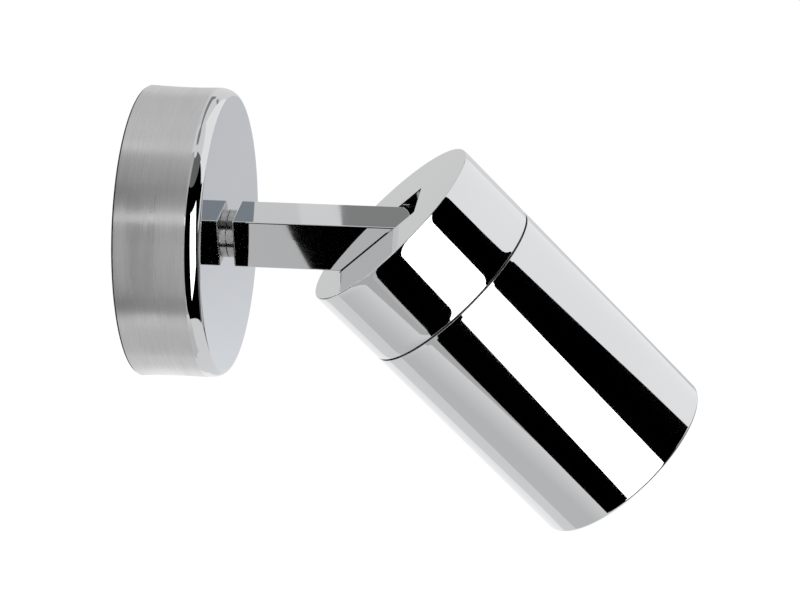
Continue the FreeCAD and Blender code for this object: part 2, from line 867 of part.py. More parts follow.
def make_arm_leads():
    """Leads through the stem and the bar: two pass over the pivot pin and one under it."""
    spread_start = arm_start + stem_grip + lead_bend
    spread_end = pivot_out - lead_bend * 2
    live, earth, neutral = stem_lead_places()
    for label, near, far in (
            ("arm_lead_live", live, (-lead_side, pin_lead_up())),
            ("arm_lead_earth", earth, (as_size(0), -pin_lead_up())),
            ("arm_lead_neutral", neutral, (lead_side, pin_lead_up()))):
        new_lead(label, stand_in_wall_frame, [
            (near[0], near[1], stem_lead_end() + lead_meet_gap),
            (near[0], near[1], spread_start),
            (far[0], far[1], spread_end),
            (far[0], far[1], pivot_out + nose_lead_end() - pin_lead_up() / 2),
        ])


# ---------------------------------------------------------------- head

def slot_lower_end():
    """Distance below the pivot that the bar reaches in the rear face at the lowest tilt."""
    return pivot_depth * tangent(tilt_down) + nose_radius / cosine(tilt_down)


def slot_upper_end():
    return pivot_depth * tangent(tilt_up) + nose_radius / cosine(tilt_up)


def make_rear_cap():
    body = new_body("rear_cap", stand_in_head_frame)
    inner = head_radius - cap_wall
    shell = turned(body, [
        (0, 0),
        (head_radius, 0),
        (head_radius, cap_length),
        (spigot_radius, cap_length),
        (spigot_radius, spigot_end),
        (spigot_inner_radius, spigot_end),
        (spigot_inner_radius, cap_length - spigot_wall),
        (inner, cap_length - spigot_wall * 2),
        (inner, rear_wall),
        (0, rear_wall),
    ])
    bevelled(body, shell, circle_at(head_radius, 0), cap_edge)
    seal_groove(body)
    post = plain_cylinder(body, post_diameter / 2, rear_wall, yoke_depth, -post_spacing / 2, 0)
    thread = hole(body, -post_spacing / 2, 0, post_screw_size / 2 + running_gap,
                  yoke_depth - post_screw_grip - lead_diameter, yoke_depth)
    mirrored(body, [post, thread])
    half_slot = arm_width / 2 + slot_side_gap
    slot = new_sketch(body, "XY_Plane")
    box_outline(slot, -half_slot, half_slot,
                -(pivot_drop + slot_lower_end() + slot_end_gap),
                slot_upper_end() + slot_end_gap - pivot_drop)
    pocket(body, slot, rear_wall, reverse=True)


def seal_groove(body):
    centre = cap_length + seal_position
    floor = spigot_radius - soft_gap - seal_thickness + running_gap
    half = seal_thickness / 2 + running_gap
    sketch = new_sketch(body, "XZ_Plane")
    outline(sketch, [
        (floor, centre - half), (head_radius, centre - half),
        (head_radius, centre + half), (floor, centre + half),
    ])
    groove = body.newObject("PartDesign::Groove", f"{body.Name}_groove")
    groove.Profile = sketch
    groove.ReferenceAxis = (origin_item(body, "Z_Axis"), [""])
    groove.Angle = 360
    before = body.Shape.Volume
    finish_feature(groove)
    if groove.Shape.Volume > before - 1e-6:
        raise ValueError("the seal's groove cut nothing")


def make_barrel_seal():
    """O-ring that lies in the spigot's groove."""
    seal = doc.addObject("Part::Torus", "barrel_seal")
    seal.Label = "barrel_seal"
    bind(seal, "Radius2", seal_thickness / 2)
    bind(seal, "Radius1", spigot_radius - soft_gap + running_gap - seal_thickness / 2)
    lift = cap_length + seal_position
    seal.Placement = Placement(
        Vector(0, -head_out.number - lift.number * math.cos(math.radians(tilt_down.number)),
               head_up.number - lift.number * math.sin(math.radians(tilt_down.number))),
        Rotation(Vector(1, 0, 0), 90 + tilt_down.number),
    )
    bind(seal, "Placement.Base.y", -(head_out + lift * cosine(tilt_down)))
    bind(seal, "Placement.Base.z", head_up - lift * sine(tilt_down))
    bind(seal, "Placement.Rotation.Angle", as_size(90) + tilt_down)
    pieces.append(seal)


def make_head_yoke():
    body = new_body("head_yoke", stand_in_head_frame)
    plain_cylinder(body, yoke_diameter / 2, yoke_depth, yoke_back)
    window = new_sketch(body, "XY_Plane", yoke_depth)
    window_half = yoke_window_height / 2
    box_outline(window, -ear_inner, ear_inner, -window_half, window_half)
    pocket(body, window, yoke_thickness, reverse=True)
    ear_half = yoke_ear_width / 2
    ear = block(body, -ear_outer, -ear_inner, -pivot_drop - ear_half, ear_half - pivot_drop,
                rear_wall + yoke_ear_gap, yoke_depth)
    mirrored(body, [ear])
    pin_hole = new_sketch(body, "YZ_Plane")
    circle(pin_hole, -pivot_drop, pivot_depth, pivot_pin_diameter / 2 + running_gap)
    pocket(body, pin_hole, ear_outer * 2, both_ways=True)
    for side in (-1, 1):
        hole(body, post_spacing / 2 * side, 0, post_screw_size / 2 + fit_gap,
             yoke_depth, yoke_back)
    hole(body, 0, tag_up(), post_screw_size / 2 + running_gap, yoke_depth, yoke_back)


def tag_up():
    """Place of the earth tag on the yoke, above the head's axis."""
    return yoke_window_height / 2 + post_screw_head


def crimp_start():
    """Where the earth lead ends against the tag's crimp."""
    return yoke_window_height / 2 + fit_gap


def make_pivot_pin():
    body = new_body("pivot_pin", stand_in_head_frame)
    sketch = new_sketch(body, "YZ_Plane")
    circle(sketch, -pivot_drop, pivot_depth, pivot_pin_diameter / 2)
    pad(body, sketch, (ear_outer + pin_overhang) * 2, both_ways=True)


def make_pivot_washers():
    body = new_body("pivot_washers", stand_in_head_frame)
    sketch = new_sketch(body, "YZ_Plane", nose_radius + running_gap)
    circle(sketch, -pivot_drop, pivot_depth, pivot_washer_diameter / 2)
    circle(sketch, -pivot_drop, pivot_depth, pivot_pin_diameter / 2 + running_gap)
    washer = pad(body, sketch, slot_side_gap - running_gap * 2)
    mirrored(body, [washer])


def make_yoke_screws():
    body = new_body("yoke_screws", stand_in_head_frame)
    under_head = yoke_back + bracket_thickness
    across = post_spacing / 2
    shank = plain_cylinder(body, post_screw_size / 2, yoke_depth - post_screw_grip,
                           under_head, -across, 0)
    head = plain_cylinder(body, post_screw_head / 2, under_head,
                          under_head + post_screw_head_height, -across, 0)
    mirrored(body, [shank, head])


def make_lampholder_bracket():
    body = new_body("lampholder_bracket", stand_in_head_frame)
    half = bracket_width / 2
    inner = half - bracket_thickness
    foot = bracket_foot_width / 2
    plate_half = bracket_plate_height / 2
    block(body, -half, half, -plate_half, plate_half, bracket_plate, holder_start)
    leg = block(body, -half, -inner, -foot, foot, yoke_back, bracket_plate)
    toe = block(body, -(post_spacing / 2 + foot - running_gap * 10), -inner, -foot, foot,
                yoke_back, yoke_back + bracket_thickness)
    slot = hole(body, -post_spacing / 2, 0, post_screw_size / 2 + fit_gap,
                yoke_back, yoke_back + bracket_thickness)
    mirrored(body, [leg, toe, slot])
    for side in (-1, 1):
        hole(body, 0, holder_screw_spacing / 2 * side, holder_screw_size / 2 + running_gap,
             bracket_plate, holder_start)
        hole(body, lamp_pin_spacing / 2 * side, 0, lead_entry / 2 + fit_gap,
             bracket_plate, holder_start)


def make_lampholder():
    body = new_body("lampholder", stand_in_head_frame)
    plain_cylinder(body, holder_diameter / 2, holder_start, holder_front)
    for side in (-1, 1):
        across = lamp_pin_spacing / 2 * side
        hole(body, across, 0, lamp_pin_head / 2 + fit_gap, holder_front - socket_depth,
             holder_front)
        hole(body, across, 0, lead_entry / 2, holder_start, holder_front - socket_depth)
        up = holder_screw_spacing / 2 * side
        hole(body, 0, up, holder_screw_size / 2 + fit_gap, holder_start, holder_front)
        hole(body, 0, up, holder_screw_head / 2 + fit_gap, holder_front - holder_screw_sink,
             holder_front)


def make_lampholder_screws():
    body = new_body("lampholder_screws", stand_in_head_frame)
    up = holder_screw_spacing / 2
    under_head = holder_front - holder_screw_sink
    shank = plain_cylinder(body, holder_screw_size / 2, bracket_plate - bracket_thickness,
                           under_head, 0, up)
    head = plain_cylinder(body, holder_screw_head / 2, under_head,
                          under_head + holder_screw_head_height, 0, up)
    mirrored(body, [shank, head], "XZ_Plane")


def make_earth_tag():
    tag = new_body("earth_tag", stand_in_head_frame)
    front = yoke_back + earth_washer_thickness
    sketch = new_sketch(tag, "XY_Plane", yoke_back)
    circle(sketch, 0, tag_up(), post_screw_head / 2 + fit_gap)
    circle(sketch, 0, tag_up(), post_screw_size / 2 + fit_gap)
    pad(tag, sketch, earth_washer_thickness)
    block(tag, -lead_diameter, lead_diameter, crimp_start(),
          tag_up() - post_screw_head / 2 - fit_gap, yoke_back, front + lead_diameter)
    block(tag, -lead_diameter / 2, lead_diameter / 2, tag_up() - post_screw_head / 2 - fit_gap,
          tag_up() - post_screw_size / 2 - fit_gap * 2, yoke_back, front)
    screw = new_body("earth_tag_screw", stand_in_head_frame)
    plain_cylinder(screw, post_screw_size / 2, yoke_depth - yoke_thickness, front, 0, tag_up())
    plain_cylinder(screw, post_screw_head / 2, front, front + post_screw_head_height,
                   0, tag_up())


def make_lamp():
    neck_end = holder_front + lamp_neck_length
    neck_radius = lamp_neck_diameter / 2
    rim_radius = lamp_diameter / 2
    neck = new_body("lamp_neck", stand_in_head_frame)
    plain_cylinder(neck, neck_radius, holder_front + running_gap, neck_end)
    pins = new_body("lamp_pins", stand_in_head_frame)
    pin_end = holder_front - lamp_pin_length
    across = lamp_pin_spacing / 2
    shank = plain_cylinder(pins, lamp_pin_diameter / 2, pin_end + lamp_pin_head_height,
                           holder_front + running_gap, -across, 0)
    head = plain_cylinder(pins, lamp_pin_head / 2, pin_end, pin_end + lamp_pin_head_height,
                          -across, 0)
    mirrored(pins, [shank, head])
    reflector = new_body("lamp_reflector", stand_in_head_frame)
    rim_start = lamp_front - lamp_glass_thickness
    turned(
        reflector,
        [
            (neck_radius, neck_end),
            (rim_radius, rim_start),
            (rim_radius, lamp_front),
            (rim_radius - lamp_shell, lamp_front),
            (rim_radius - lamp_shell, rim_start),
            (neck_radius - lamp_shell, neck_end + lamp_shell),
            (0, neck_end + lamp_shell),
            (0, neck_end),
        ],
        {0: (lamp_bulge, 1), 4: (lamp_bulge, -1)},
    )
    glass = new_body("lamp_front_glass", stand_in_head_frame)
    plain_cylinder(glass, rim_radius - lamp_shell - running_gap, rim_start, lamp_front)


def make_head_leads():
    """Two leads to the lampholder and one to the earth tag, from beside the arm's nose."""
    nose = nose_radius + lead_pin_gap
    along = cosine(tilt_down)
    square = sine(tilt_down)
    upper = pin_lead_up()
    start_up = nose * square + upper * along - pivot_drop
    start_depth = nose * along - upper * square + pivot_depth
    way = lead_bend * 4 / 5
    for label, side in (("head_lead_live", -1), ("head_lead_neutral", 1)):
        holder_across = lamp_pin_spacing / 2 * side
        new_lead(label, stand_in_head_frame, [
            (lead_side * side, start_up, start_depth),
            (lead_side * 2 * side, start_up + way * square, start_depth + way * along),
            (holder_across, start_up, yoke_back + lead_bend / 2),
            (holder_across, 0, bracket_plate - lead_bend / 4),
            (holder_across, 0, holder_start + lead_bend / 2),
        ])
    earth_up = nose * square - upper * along - pivot_drop
    earth_depth = nose * along + upper * square + pivot_depth
    tag_depth = yoke_back + earth_washer_thickness + lead_diameter / 2
    new_lead("head_lead_earth", stand_in_head_frame, [
        (0, earth_up, earth_depth),
        (0, earth_up + way * sine(tilt_down), tag_depth),
        (0, crimp_start(), tag_depth),
    ])


# ---------------------------------------------------------------- barrel

def make_barrel():
    body = new_body("barrel", stand_in_head_frame)
    shell = turned(body, [
        (barrel_inner_radius, barrel_start),
        (head_radius, barrel_start),
        (head_radius, head_length),
        (barrel_opening / 2, head_length),
        (barrel_opening / 2, lip_back),
        (barrel_inner_radius, lip_back),
    ])
    bevelled(body, shell, circle_at(head_radius, head_length), barrel_edge)


def make_lens():
    glass_radius = barrel_inner_radius - lens_gap
    gasket = new_body("lens_gasket", stand_in_head_frame)
    ring(gasket, glass_radius, barrel_opening / 2 + lens_gap, lens_front, lip_back)
    glass = new_body("lens_glass", stand_in_head_frame)
    plain_cylinder(glass, glass_radius, lens_back, lens_front)
    keeper = new_body("lens_retaining_ring", stand_in_head_frame)
    keeper_radius = barrel_inner_radius - running_gap
    ring(keeper, keeper_radius, keeper_radius - ring_width, lens_back - ring_thickness, lens_back)


# ---------------------------------------------------------------- build and write

make_base_cover()
make_wall_gasket()
make_wall_bracket()
make_locking_screw()
make_cover_stiffener()
make_stop_peg()
make_terminal_block()
make_terminal_inserts()
make_terminal_screws()
make_block_screws()
make_earth_point()
make_base_leads()
make_neck_collar()
make_swivel_stem()
make_swivel_washers()
make_swivel_nut()
make_arm_bar()
make_stem_grub_screw()
make_arm_leads()
make_rear_cap()
make_barrel_seal()
make_head_yoke()
make_pivot_pin()
make_pivot_washers()
make_yoke_screws()
make_lampholder_bracket()
make_lampholder()
make_lampholder_screws()
make_earth_tag()
make_lamp()
make_head_leads()
make_barrel()
make_lens()

doc.recompute()
for item in doc.Objects:
    if "Invalid" in item.State or "Error" in item.State:
        raise ValueError(f"{item.Name} failed: {item.State}")
for piece in pieces:
    if piece.Shape.isNull() or not piece.Shape.isValid() or not piece.Shape.Solids:
        raise ValueError(f"{piece.Label} has no good solid")

os.makedirs("parts", exist_ok=True)
for piece in pieces:
    piece.Shape.exportStep(f"parts/{piece.Label}.step")
print(len(pieces), "pieces written")
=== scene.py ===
import json
import math

import bmesh
import bpy
from bpy.props import FloatProperty, FloatVectorProperty, IntProperty, PointerProperty
from mathutils import Matrix, Vector


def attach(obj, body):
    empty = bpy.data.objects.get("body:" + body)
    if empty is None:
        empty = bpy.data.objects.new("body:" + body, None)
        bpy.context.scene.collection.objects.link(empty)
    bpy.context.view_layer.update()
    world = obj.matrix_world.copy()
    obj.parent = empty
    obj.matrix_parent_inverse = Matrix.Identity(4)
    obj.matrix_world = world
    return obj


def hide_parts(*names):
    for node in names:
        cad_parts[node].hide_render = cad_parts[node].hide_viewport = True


bl_info = {
    "name": "Pivoting Wall Spotlight",
    "version": (1, 0, 0),
    "blender": (4, 5, 0),
    "location": "View3D > Sidebar > Wall Spotlight",
    "description": "Dresses the packed frame of a chrome wall spotlight and lights it",
    "category": "Object",
}

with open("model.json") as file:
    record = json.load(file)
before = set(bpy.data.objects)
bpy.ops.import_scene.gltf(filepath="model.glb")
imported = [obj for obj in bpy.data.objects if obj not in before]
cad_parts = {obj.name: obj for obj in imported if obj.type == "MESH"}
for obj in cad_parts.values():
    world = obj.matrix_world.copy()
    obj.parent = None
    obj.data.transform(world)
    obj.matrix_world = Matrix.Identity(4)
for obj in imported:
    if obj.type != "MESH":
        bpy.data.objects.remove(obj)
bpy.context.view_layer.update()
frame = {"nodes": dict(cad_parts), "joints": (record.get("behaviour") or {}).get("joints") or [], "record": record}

MM = 0.001
HAIR = 0.01 * MM  # keeps cut faces out of one plane
SHARP_ANGLE = math.radians(35)  # faces that meet at more than this keep a sharp edge

# Steps of the rounded and drawn lines
ARC_STEPS = 6
CROWN_STEPS = 8
SIDE_STEPS = 24
RIM_STEPS = 24
NOSE_STEPS = 40

# Fixed sizes of the hidden fits, which the CAD pieces share
FINE_EDGE = 0.1 * MM
REACH_IN = 0.5 * MM  # a cutter starts this far short of the wall that it goes through
CLEARANCE = 0.05 * MM
SCREW_HOLE = 1.55 * MM  # radius of the holes for the grub screw and the post screws
GRUB_PLACE = 5.0 * MM  # from the bar's end to the grub screw
SPIGOT_LENGTH = 8.0 * MM
SPIGOT_WALL = 3.0 * MM
SPIGOT_EDGE = 0.2 * MM
TAPER_START = 6.0 * MM  # the cap's wall thickens towards the spigot, from and to
TAPER_END = 3.0 * MM  # these distances behind the cap's front
GROOVE_PLACE = 4.2 * MM  # from the cap's front to the middle of the seal's groove
GROOVE_HALF = 0.75 * MM
GROOVE_DEPTH = 1.65 * MM
JOINT_EDGE = 0.12 * MM  # rounding of the two rims at the joint line
POST_RADIUS = 3.5 * MM
POST_EDGE = 0.25 * MM
POST_END = 12.5 * MM  # from the rear face
POST_SIDE = 20.0 * MM  # from the head's axis
POST_FLOOR = 3.3 * MM  # metal between the rear wall and the post's hole
OVERLAP = 0.1 * MM  # how far the posts reach into the rear wall


# ---------------------------------------------------------------- places from the frame

def joint(name):
    return next(item for item in frame["joints"] if item["name"] == name)


PIVOT = Vector(joint("head_tilt")["pos_m"])
HEAD_AXIS = Vector(joint("barrel_release")["axis"]).normalized()
HEAD_UP = Vector((0.0, HEAD_AXIS.z, -HEAD_AXIS.y))
PIVOT_DEPTH = 7.0 * MM  # the pivot lies this far inside the rear face
PIVOT_DROP = 0.2 * MM  # and this far below the head's axis
REAR_CENTRE = PIVOT - HEAD_AXIS * PIVOT_DEPTH + HEAD_UP * PIVOT_DROP


def wall_place():
    """Local X across, local Y up, local Z out from the wall."""
    return Matrix(((1, 0, 0, 0), (0, 0, -1, 0), (0, 1, 0, 0), (0, 0, 0, 1)))


def placed(*columns):
    """Matrix from three axes and a place."""
    place = Matrix.Identity(4)
    for column, axis in enumerate(columns):
        for row in range(3):
            place[row][column] = axis[row]
    return place


def head_place():
    """Local X across, local Z along the head from the centre of its rear face."""
    return placed(Vector((1, 0, 0)), HEAD_UP, HEAD_AXIS, REAR_CENTRE)


# ---------------------------------------------------------------- sizes and finishes

def length(name, text, value):
    return FloatProperty(
        name=name, description=text, default=value, min=0.0, unit="LENGTH", subtype="DISTANCE"
    )


def colour(name, text, value):
    return FloatVectorProperty(
        name=name, description=text, default=value, size=3, min=0.0, max=1.0, subtype="COLOR"
    )


def share(name, text, value):
    return FloatProperty(
        name=name, description=text, default=value, min=0.0, max=1.0, subtype="FACTOR"
    )


class CupSizes(bpy.types.PropertyGroup):
    diameter: length("Diameter", "Across the cup on the wall", 85.0 * MM)
    depth: length("Depth", "From the wall to the cup's front face", 24.5 * MM)
    sheet: length("Sheet", "Thickness of the drawn metal", 1.3 * MM)
    corner: length("Corner", "Rounding of the front rim, across the cup", 2.5 * MM)
    shoulder: length("Shoulder", "Rounding of the front rim, along the side", 4.1 * MM)
    waist: length("Waist", "How far the side draws in halfway", 0.4 * MM)
    seal: length("Seal", "Thickness of the seal on the wall", 0.5 * MM)
    lock_hole: length("Lock hole", "Across the hole for the locking screw", 4.2 * MM)
    lock_height: length("Lock height", "From the wall to the locking screw", 8.0 * MM)


class ArmSizes(bpy.types.PropertyGroup):
    neck_diameter: length("Neck diameter", "Across the turned neck", 14.0 * MM)
    neck_length: length("Neck length", "From the cup to the bar", 2.1 * MM)
    stem_hole: length("Stem hole", "Across the hole for the hollow stem", 10.1 * MM)
    stem_grip: length("Stem grip", "How far the stem goes into the bar", 10.0 * MM)
    width: length("Bar width", "Across the square bar", 14.5 * MM)
    reach: length("Bar reach", "From the neck to the head's pivot", 49.4 * MM)
    bore: length("Bore", "Across the bore for the leads", 9.0 * MM)
    edge: length("Edge", "Rounding of the bar's long edges", 0.4 * MM)
    pin: length("Pin hole", "Across the hole for the pivot pin", 4.1 * MM)


class HeadSizes(bpy.types.PropertyGroup):
    diameter: length("Diameter", "Across the head", 60.0 * MM)
    length: length("Length", "From the rear face to the front rim", 101.0 * MM)
    cap_length: length("Rear cap", "Length of the rear cap", 25.6 * MM)
    joint_gap: length("Joint gap", "Dark line between cap and barrel", 0.5 * MM)
    rear_wall: length("Rear wall", "Thickness of the rear face", 1.6 * MM)
    cap_wall: length("Cap wall", "Thickness of the rear cap's side", 2.0 * MM)
    barrel_wall: length("Barrel wall", "Thickness of the barrel", 1.9 * MM)
    opening: length("Opening", "Across the front opening", 51.5 * MM)
    lip: length("Lip", "Thickness of the front lip", 1.6 * MM)
    slot_width: length("Slot width", "Across the slot for the arm", 16.0 * MM)
    slot_low: length("Slot low end", "Below the head's axis", 18.627 * MM)
    slot_high: length("Slot high end", "Above the head's axis", 11.065 * MM)
    slot_edge: length("Slot edge", "Bevel round the slot", 0.3 * MM)
    edge: length("Edge", "Rounding of the sharp rims", 0.3 * MM)
    crown: length("Crown", "Length over which the polishing draws the cap's ends in", 3.0 * MM)
    fall: length("Fall", "How far the ends are drawn in", 0.12 * MM)


class Finishes(bpy.types.PropertyGroup):
    chrome: colour("Chrome", "Colour of the polished plate", (0.72, 0.725, 0.735))
    brushed: colour("Brushed chrome", "Colour of the cup's brushed side", (0.66, 0.66, 0.665))
    # Inside: unpolished inner metal, darkened further as painted shade for the joint gap and the hollows
    inside: colour("Inside", "Colour of the unpolished inside", (0.12, 0.12, 0.125))
    zinc: colour("Zinc plate", "Colour of the inner steel parts", (0.56, 0.57, 0.56))
    brass: colour("Brass", "Colour of the brass parts", (0.78, 0.58, 0.26))
    rubber: colour("Rubber", "Colour of the seals", (0.020, 0.020, 0.022))
    nylon: colour("Nylon", "Colour of the housing and washers", (0.80, 0.80, 0.76))
    ceramic: colour("Ceramic", "Colour of the lampholder", (0.82, 0.79, 0.72))
    brushing: share("Brushing", "Roughness of the cup's brushed side", 0.30)


class StageSettings(bpy.types.PropertyGroup):
    floor_drop: length("Floor drop", "Height of the light above the floor", 1.5)
    card_distance: length("Card distance", "From the light to the cards round it", 1.25)
    surround: FloatProperty(
        name="Surround", description="Brightness of the plain surround", default=0.80, min=0.0
    )
    softbox: FloatProperty(
        name="Softbox", description="Brightness of the large softbox", default=2.6, min=0.0
    )
    segments: IntProperty(
        name="Segments", description="Faces round a turned piece", default=256, min=32
    )


def settings(name):
    return getattr(bpy.context.scene, name)


# ---------------------------------------------------------------- mesh helpers

def mesh_from(shape, name):
    """Turns what bmesh holds into a mesh, and lets go of it."""
    mesh = bpy.data.meshes.new(name)
    shape.to_mesh(mesh)
    shape.free()
    return mesh


def new_object(name, data):
    made = bpy.data.objects.new(name, data)
    bpy.context.scene.collection.objects.link(made)
    return made


def new_piece(name, mesh, body, slot_name, *nodes):
    """Links a mesh that is already in the part's frame, hangs it on its body and hides the CAD nodes that it
    stands in for.
    """
    mesh.name = name
    piece = new_object(name, mesh)
    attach(piece, body)
    if nodes:
        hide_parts(*nodes)
    return piece


def smooth(mesh):
    mesh.shade_smooth()
    mesh.set_sharp_from_angle(angle=SHARP_ANGLE)


def settle_normals(mesh):
    """Lets the large flat faces rule the normals, so that they mirror without a bend."""
    piece = new_object("settle_piece", mesh)
    change = piece.modifiers.new("settle", "WEIGHTED_NORMAL")
    change.mode = "FACE_AREA"
    change.weight = 100
    change.keep_sharp = True
    depsgraph = bpy.context.evaluated_depsgraph_get()
    result = bpy.data.meshes.new_from_object(piece.evaluated_get(depsgraph))
    bpy.data.objects.remove(piece)
    bpy.data.meshes.remove(mesh)
    return result


def crowned(radius, start, end, first, last, fall, clear):
    """Line along a turned side that falls a little over first and last at its ends.

    No point lies nearer to an end than clear, which leaves room for the rounded corner.
    """
    guard = 0.6 * MM
    line = []
    if first > 0:
        for step in range(CROWN_STEPS):
            left = 1 - step / CROWN_STEPS
            line.append((radius - fall * left ** 3, start + first * step / CROWN_STEPS, 0.0))
    line.append((radius, start + first, 0.0))
    line.append((radius, start + first + guard, 0.0))
    line.append((radius, end - last - guard, 0.0))
    line.append((radius, end - last, 0.0))
    if last > 0:
        for step in range(1, CROWN_STEPS + 1):
            done = step / CROWN_STEPS
            line.append((radius - fall * done ** 3, end - last + last * done, 0.0))
    kept = [point for point in line if start + clear < point[1] < end - clear]
    return [line[0], *kept, line[-1]]


def corner_points(before, corner, after, radius):
    """Points of the arc that rounds a corner, with a guard point on each side of it."""
    incoming = (corner - before).normalized()
    outgoing = (after - corner).normalized()
    turn = incoming.angle(outgoing)
    straight = 1e-4
    if radius <= 0 or turn < straight:
        return [corner]
    cut = radius * math.tan(turn / 2)
    start = corner - incoming * cut
    inward = (outgoing - incoming).normalized()
    centre = corner + inward * (radius / math.cos(turn / 2))
    first = start - centre
    sign = 1 if incoming.x * outgoing.y - incoming.y * outgoing.x > 0 else -1
    arc = []
    for step in range(ARC_STEPS + 1):
        angle = sign * turn * step / ARC_STEPS
        turned_x = first.x * math.cos(angle) - first.y * math.sin(angle)
        turned_y = first.x * math.sin(angle) + first.y * math.cos(angle)
        arc.append(centre + Vector((turned_x, turned_y)))
    guard_share = 0.35
    guard = radius * guard_share
    room_before = (corner - before).length - cut
    room_after = (after - corner).length - cut
    points = []
    if room_before > guard * 2:
        points.append(arc[0] - incoming * guard)
    points += arc
    if room_after > guard * 2:
        points.append(arc[-1] + outgoing * guard)
    return points


def closed_profile(corners):
    """corners are (radius, along, rounding); gives the closed line that is turned."""
    points = []
    places = [Vector(corner[:2]) for corner in corners]
    for index, (_, _, rounding) in enumerate(corners):
        before = places[index - 1]
        after = places[(index + 1) % len(places)]
        points += corner_points(before, places[index], after, rounding)
    return points


def turned_mesh(name, profile, place, segments, marks=None):
    """Turns a closed line about local Z. marks gives a material index per stretch."""
    on_axis = 1e-9
    shape = bmesh.new()
    rings = []
    for point in profile:
        if abs(point.x) < on_axis:
            rings.append([shape.verts.new((0, 0, point.y))] * segments)
            continue
        ring = []
        for step in range(segments):
            angle = 2 * math.pi * step / segments
            ring.append(shape.verts.new(
                (point.x * math.cos(angle), point.x * math.sin(angle), point.y)
            ))
        rings.append(ring)
    for index, ring in enumerate(rings):
        following = rings[(index + 1) % len(rings)]
        for step in range(segments):
            beside = (step + 1) % segments
            corners = [ring[step], ring[beside], following[beside], following[step]]
            unique = list(dict.fromkeys(corners))
            if len(unique) < 3:
                continue
            face = shape.faces.new(unique)
            if marks:
                face.material_index = marks(profile[index], profile[(index + 1) % len(rings)])
    bmesh.ops.recalc_face_normals(shape, faces=shape.faces)
    shape.transform(place)
    return mesh_from(shape, name)


def box_mesh(name, low, high, place):
    shape = bmesh.new()
    bmesh.ops.create_cube(shape, size=1.0)
    middle = (Vector(low) + Vector(high)) / 2
    size = Vector(high) - Vector(low)
    bmesh.ops.transform(
        shape, matrix=place @ Matrix.Translation(middle) @ Matrix.Diagonal(size.to_4d()),
        verts=shape.verts,
    )
    return mesh_from(shape, name)


def rod_mesh(name, start, end, radius, segments=96):
    """Plain rod between two points in the part's frame, used as a cutter."""
    way = end - start
    shape = bmesh.new()
    turn = way.to_track_quat("Z", "Y").to_matrix().to_4x4()
    bmesh.ops.create_cone(
        shape, cap_ends=True, segments=segments, radius1=radius, radius2=radius,
        depth=way.length, matrix=Matrix.Translation((start + end) / 2) @ turn,
    )
    return mesh_from(shape, name)


def cut(mesh, *cutters):
    """Takes the cutters out of the mesh and returns the result."""
    piece = new_object("cut_piece", mesh)
    tools = []
    for cutter in cutters:
        tool = new_object("cut_tool", cutter)
        change = piece.modifiers.new("cut", "BOOLEAN")
        change.operation = "DIFFERENCE"
        change.solver = "EXACT"
        change.object = tool
        tools.append(tool)
    depsgraph = bpy.context.evaluated_depsgraph_get()
    result = bpy.data.meshes.new_from_object(piece.evaluated_get(depsgraph))
    for item in [piece] + tools:
        used = item.data
        bpy.data.objects.remove(item)
        bpy.data.meshes.remove(used)
    return result


# ---------------------------------------------------------------- finishes

NOISE_LOW = 0.3
NOISE_HIGH = 0.7

LEAD_BROWN = (0.16, 0.06, 0.025)
LEAD_BLUE = (0.02, 0.11, 0.42)
LEAD_GREEN = (0.05, 0.32, 0.05)
LEAD_YELLOW = (0.75, 0.62, 0.03)
LAMP_MIRROR = (0.86, 0.86, 0.85)


def shade(base, factor):
    return tuple(min(1.0, part * factor) for part in base)


class Finish:
    """A material and short calls that add its nodes."""

    def __init__(self, name, base, metallic=0.0, roughness=0.5):
        self.material = bpy.data.materials.new(name)
        self.material.use_nodes = True
        self.tree = self.material.node_tree
        self.shader = self.tree.nodes["Principled BSDF"]
        self.set("Base Color", (*base, 1.0))
        self.set("Metallic", metallic)
        self.set("Roughness", roughness)
        self.place = self.tree.nodes.new("ShaderNodeTexCoord").outputs["Object"]

    def set(self, socket, value):
        self.shader.inputs[socket].default_value = value

    def node(self, kind, **values):
        made = self.tree.nodes.new(kind)
        for key, value in values.items():
            setattr(made, key, value)
        return made

    def link(self, source, target):
        self.tree.links.new(source, target)

    def stretched_place(self, scale):
        mapping = self.node("ShaderNodeMapping")
        mapping.inputs["Scale"].default_value = scale
        self.link(self.place, mapping.inputs["Vector"])
        return mapping.outputs["Vector"]

    def noise(self, scale, detail=3.0, stretch=(1, 1, 1), roughness=0.5):
        texture = self.node("ShaderNodeTexNoise")
        texture.inputs["Scale"].default_value = scale
        texture.inputs["Detail"].default_value = detail
        texture.inputs["Roughness"].default_value = roughness
        self.link(self.stretched_place(stretch), texture.inputs["Vector"])
        return texture.outputs["Fac"]

    def spread(self, value, low, high):
        """Maps the usual range of a noise to low..high."""
        mapped = self.node("ShaderNodeMapRange")
        mapped.inputs["From Min"].default_value = NOISE_LOW
        mapped.inputs["From Max"].default_value = NOISE_HIGH
        mapped.inputs["To Min"].default_value = low
        mapped.inputs["To Max"].default_value = high
        self.link(value, mapped.inputs["Value"])
        return mapped.outputs["Result"]

    def vary(self, value, base, low, high):
        """Varies the base colour with a noise, from low to high times the given one."""
        ramp = self.node("ShaderNodeValToRGB")
        stops = ((NOISE_LOW, low), (NOISE_HIGH, high))
        for element, (position, factor) in zip(ramp.color_ramp.elements, stops):
            element.position = position
            element.color = (*shade(base, factor), 1.0)
        self.link(value, ramp.inputs["Fac"])
        self.to(ramp.outputs["Color"], "Base Color")

    def bump(self, height, strength, distance):
        bump = self.node("ShaderNodeBump")
        bump.inputs["Strength"].default_value = strength
        bump.inputs["Distance"].default_value = distance
        self.link(height, bump.inputs["Height"])
        self.to(bump.outputs["Normal"], "Normal")

    def to(self, value, socket):
        self.link(value, self.shader.inputs[socket])


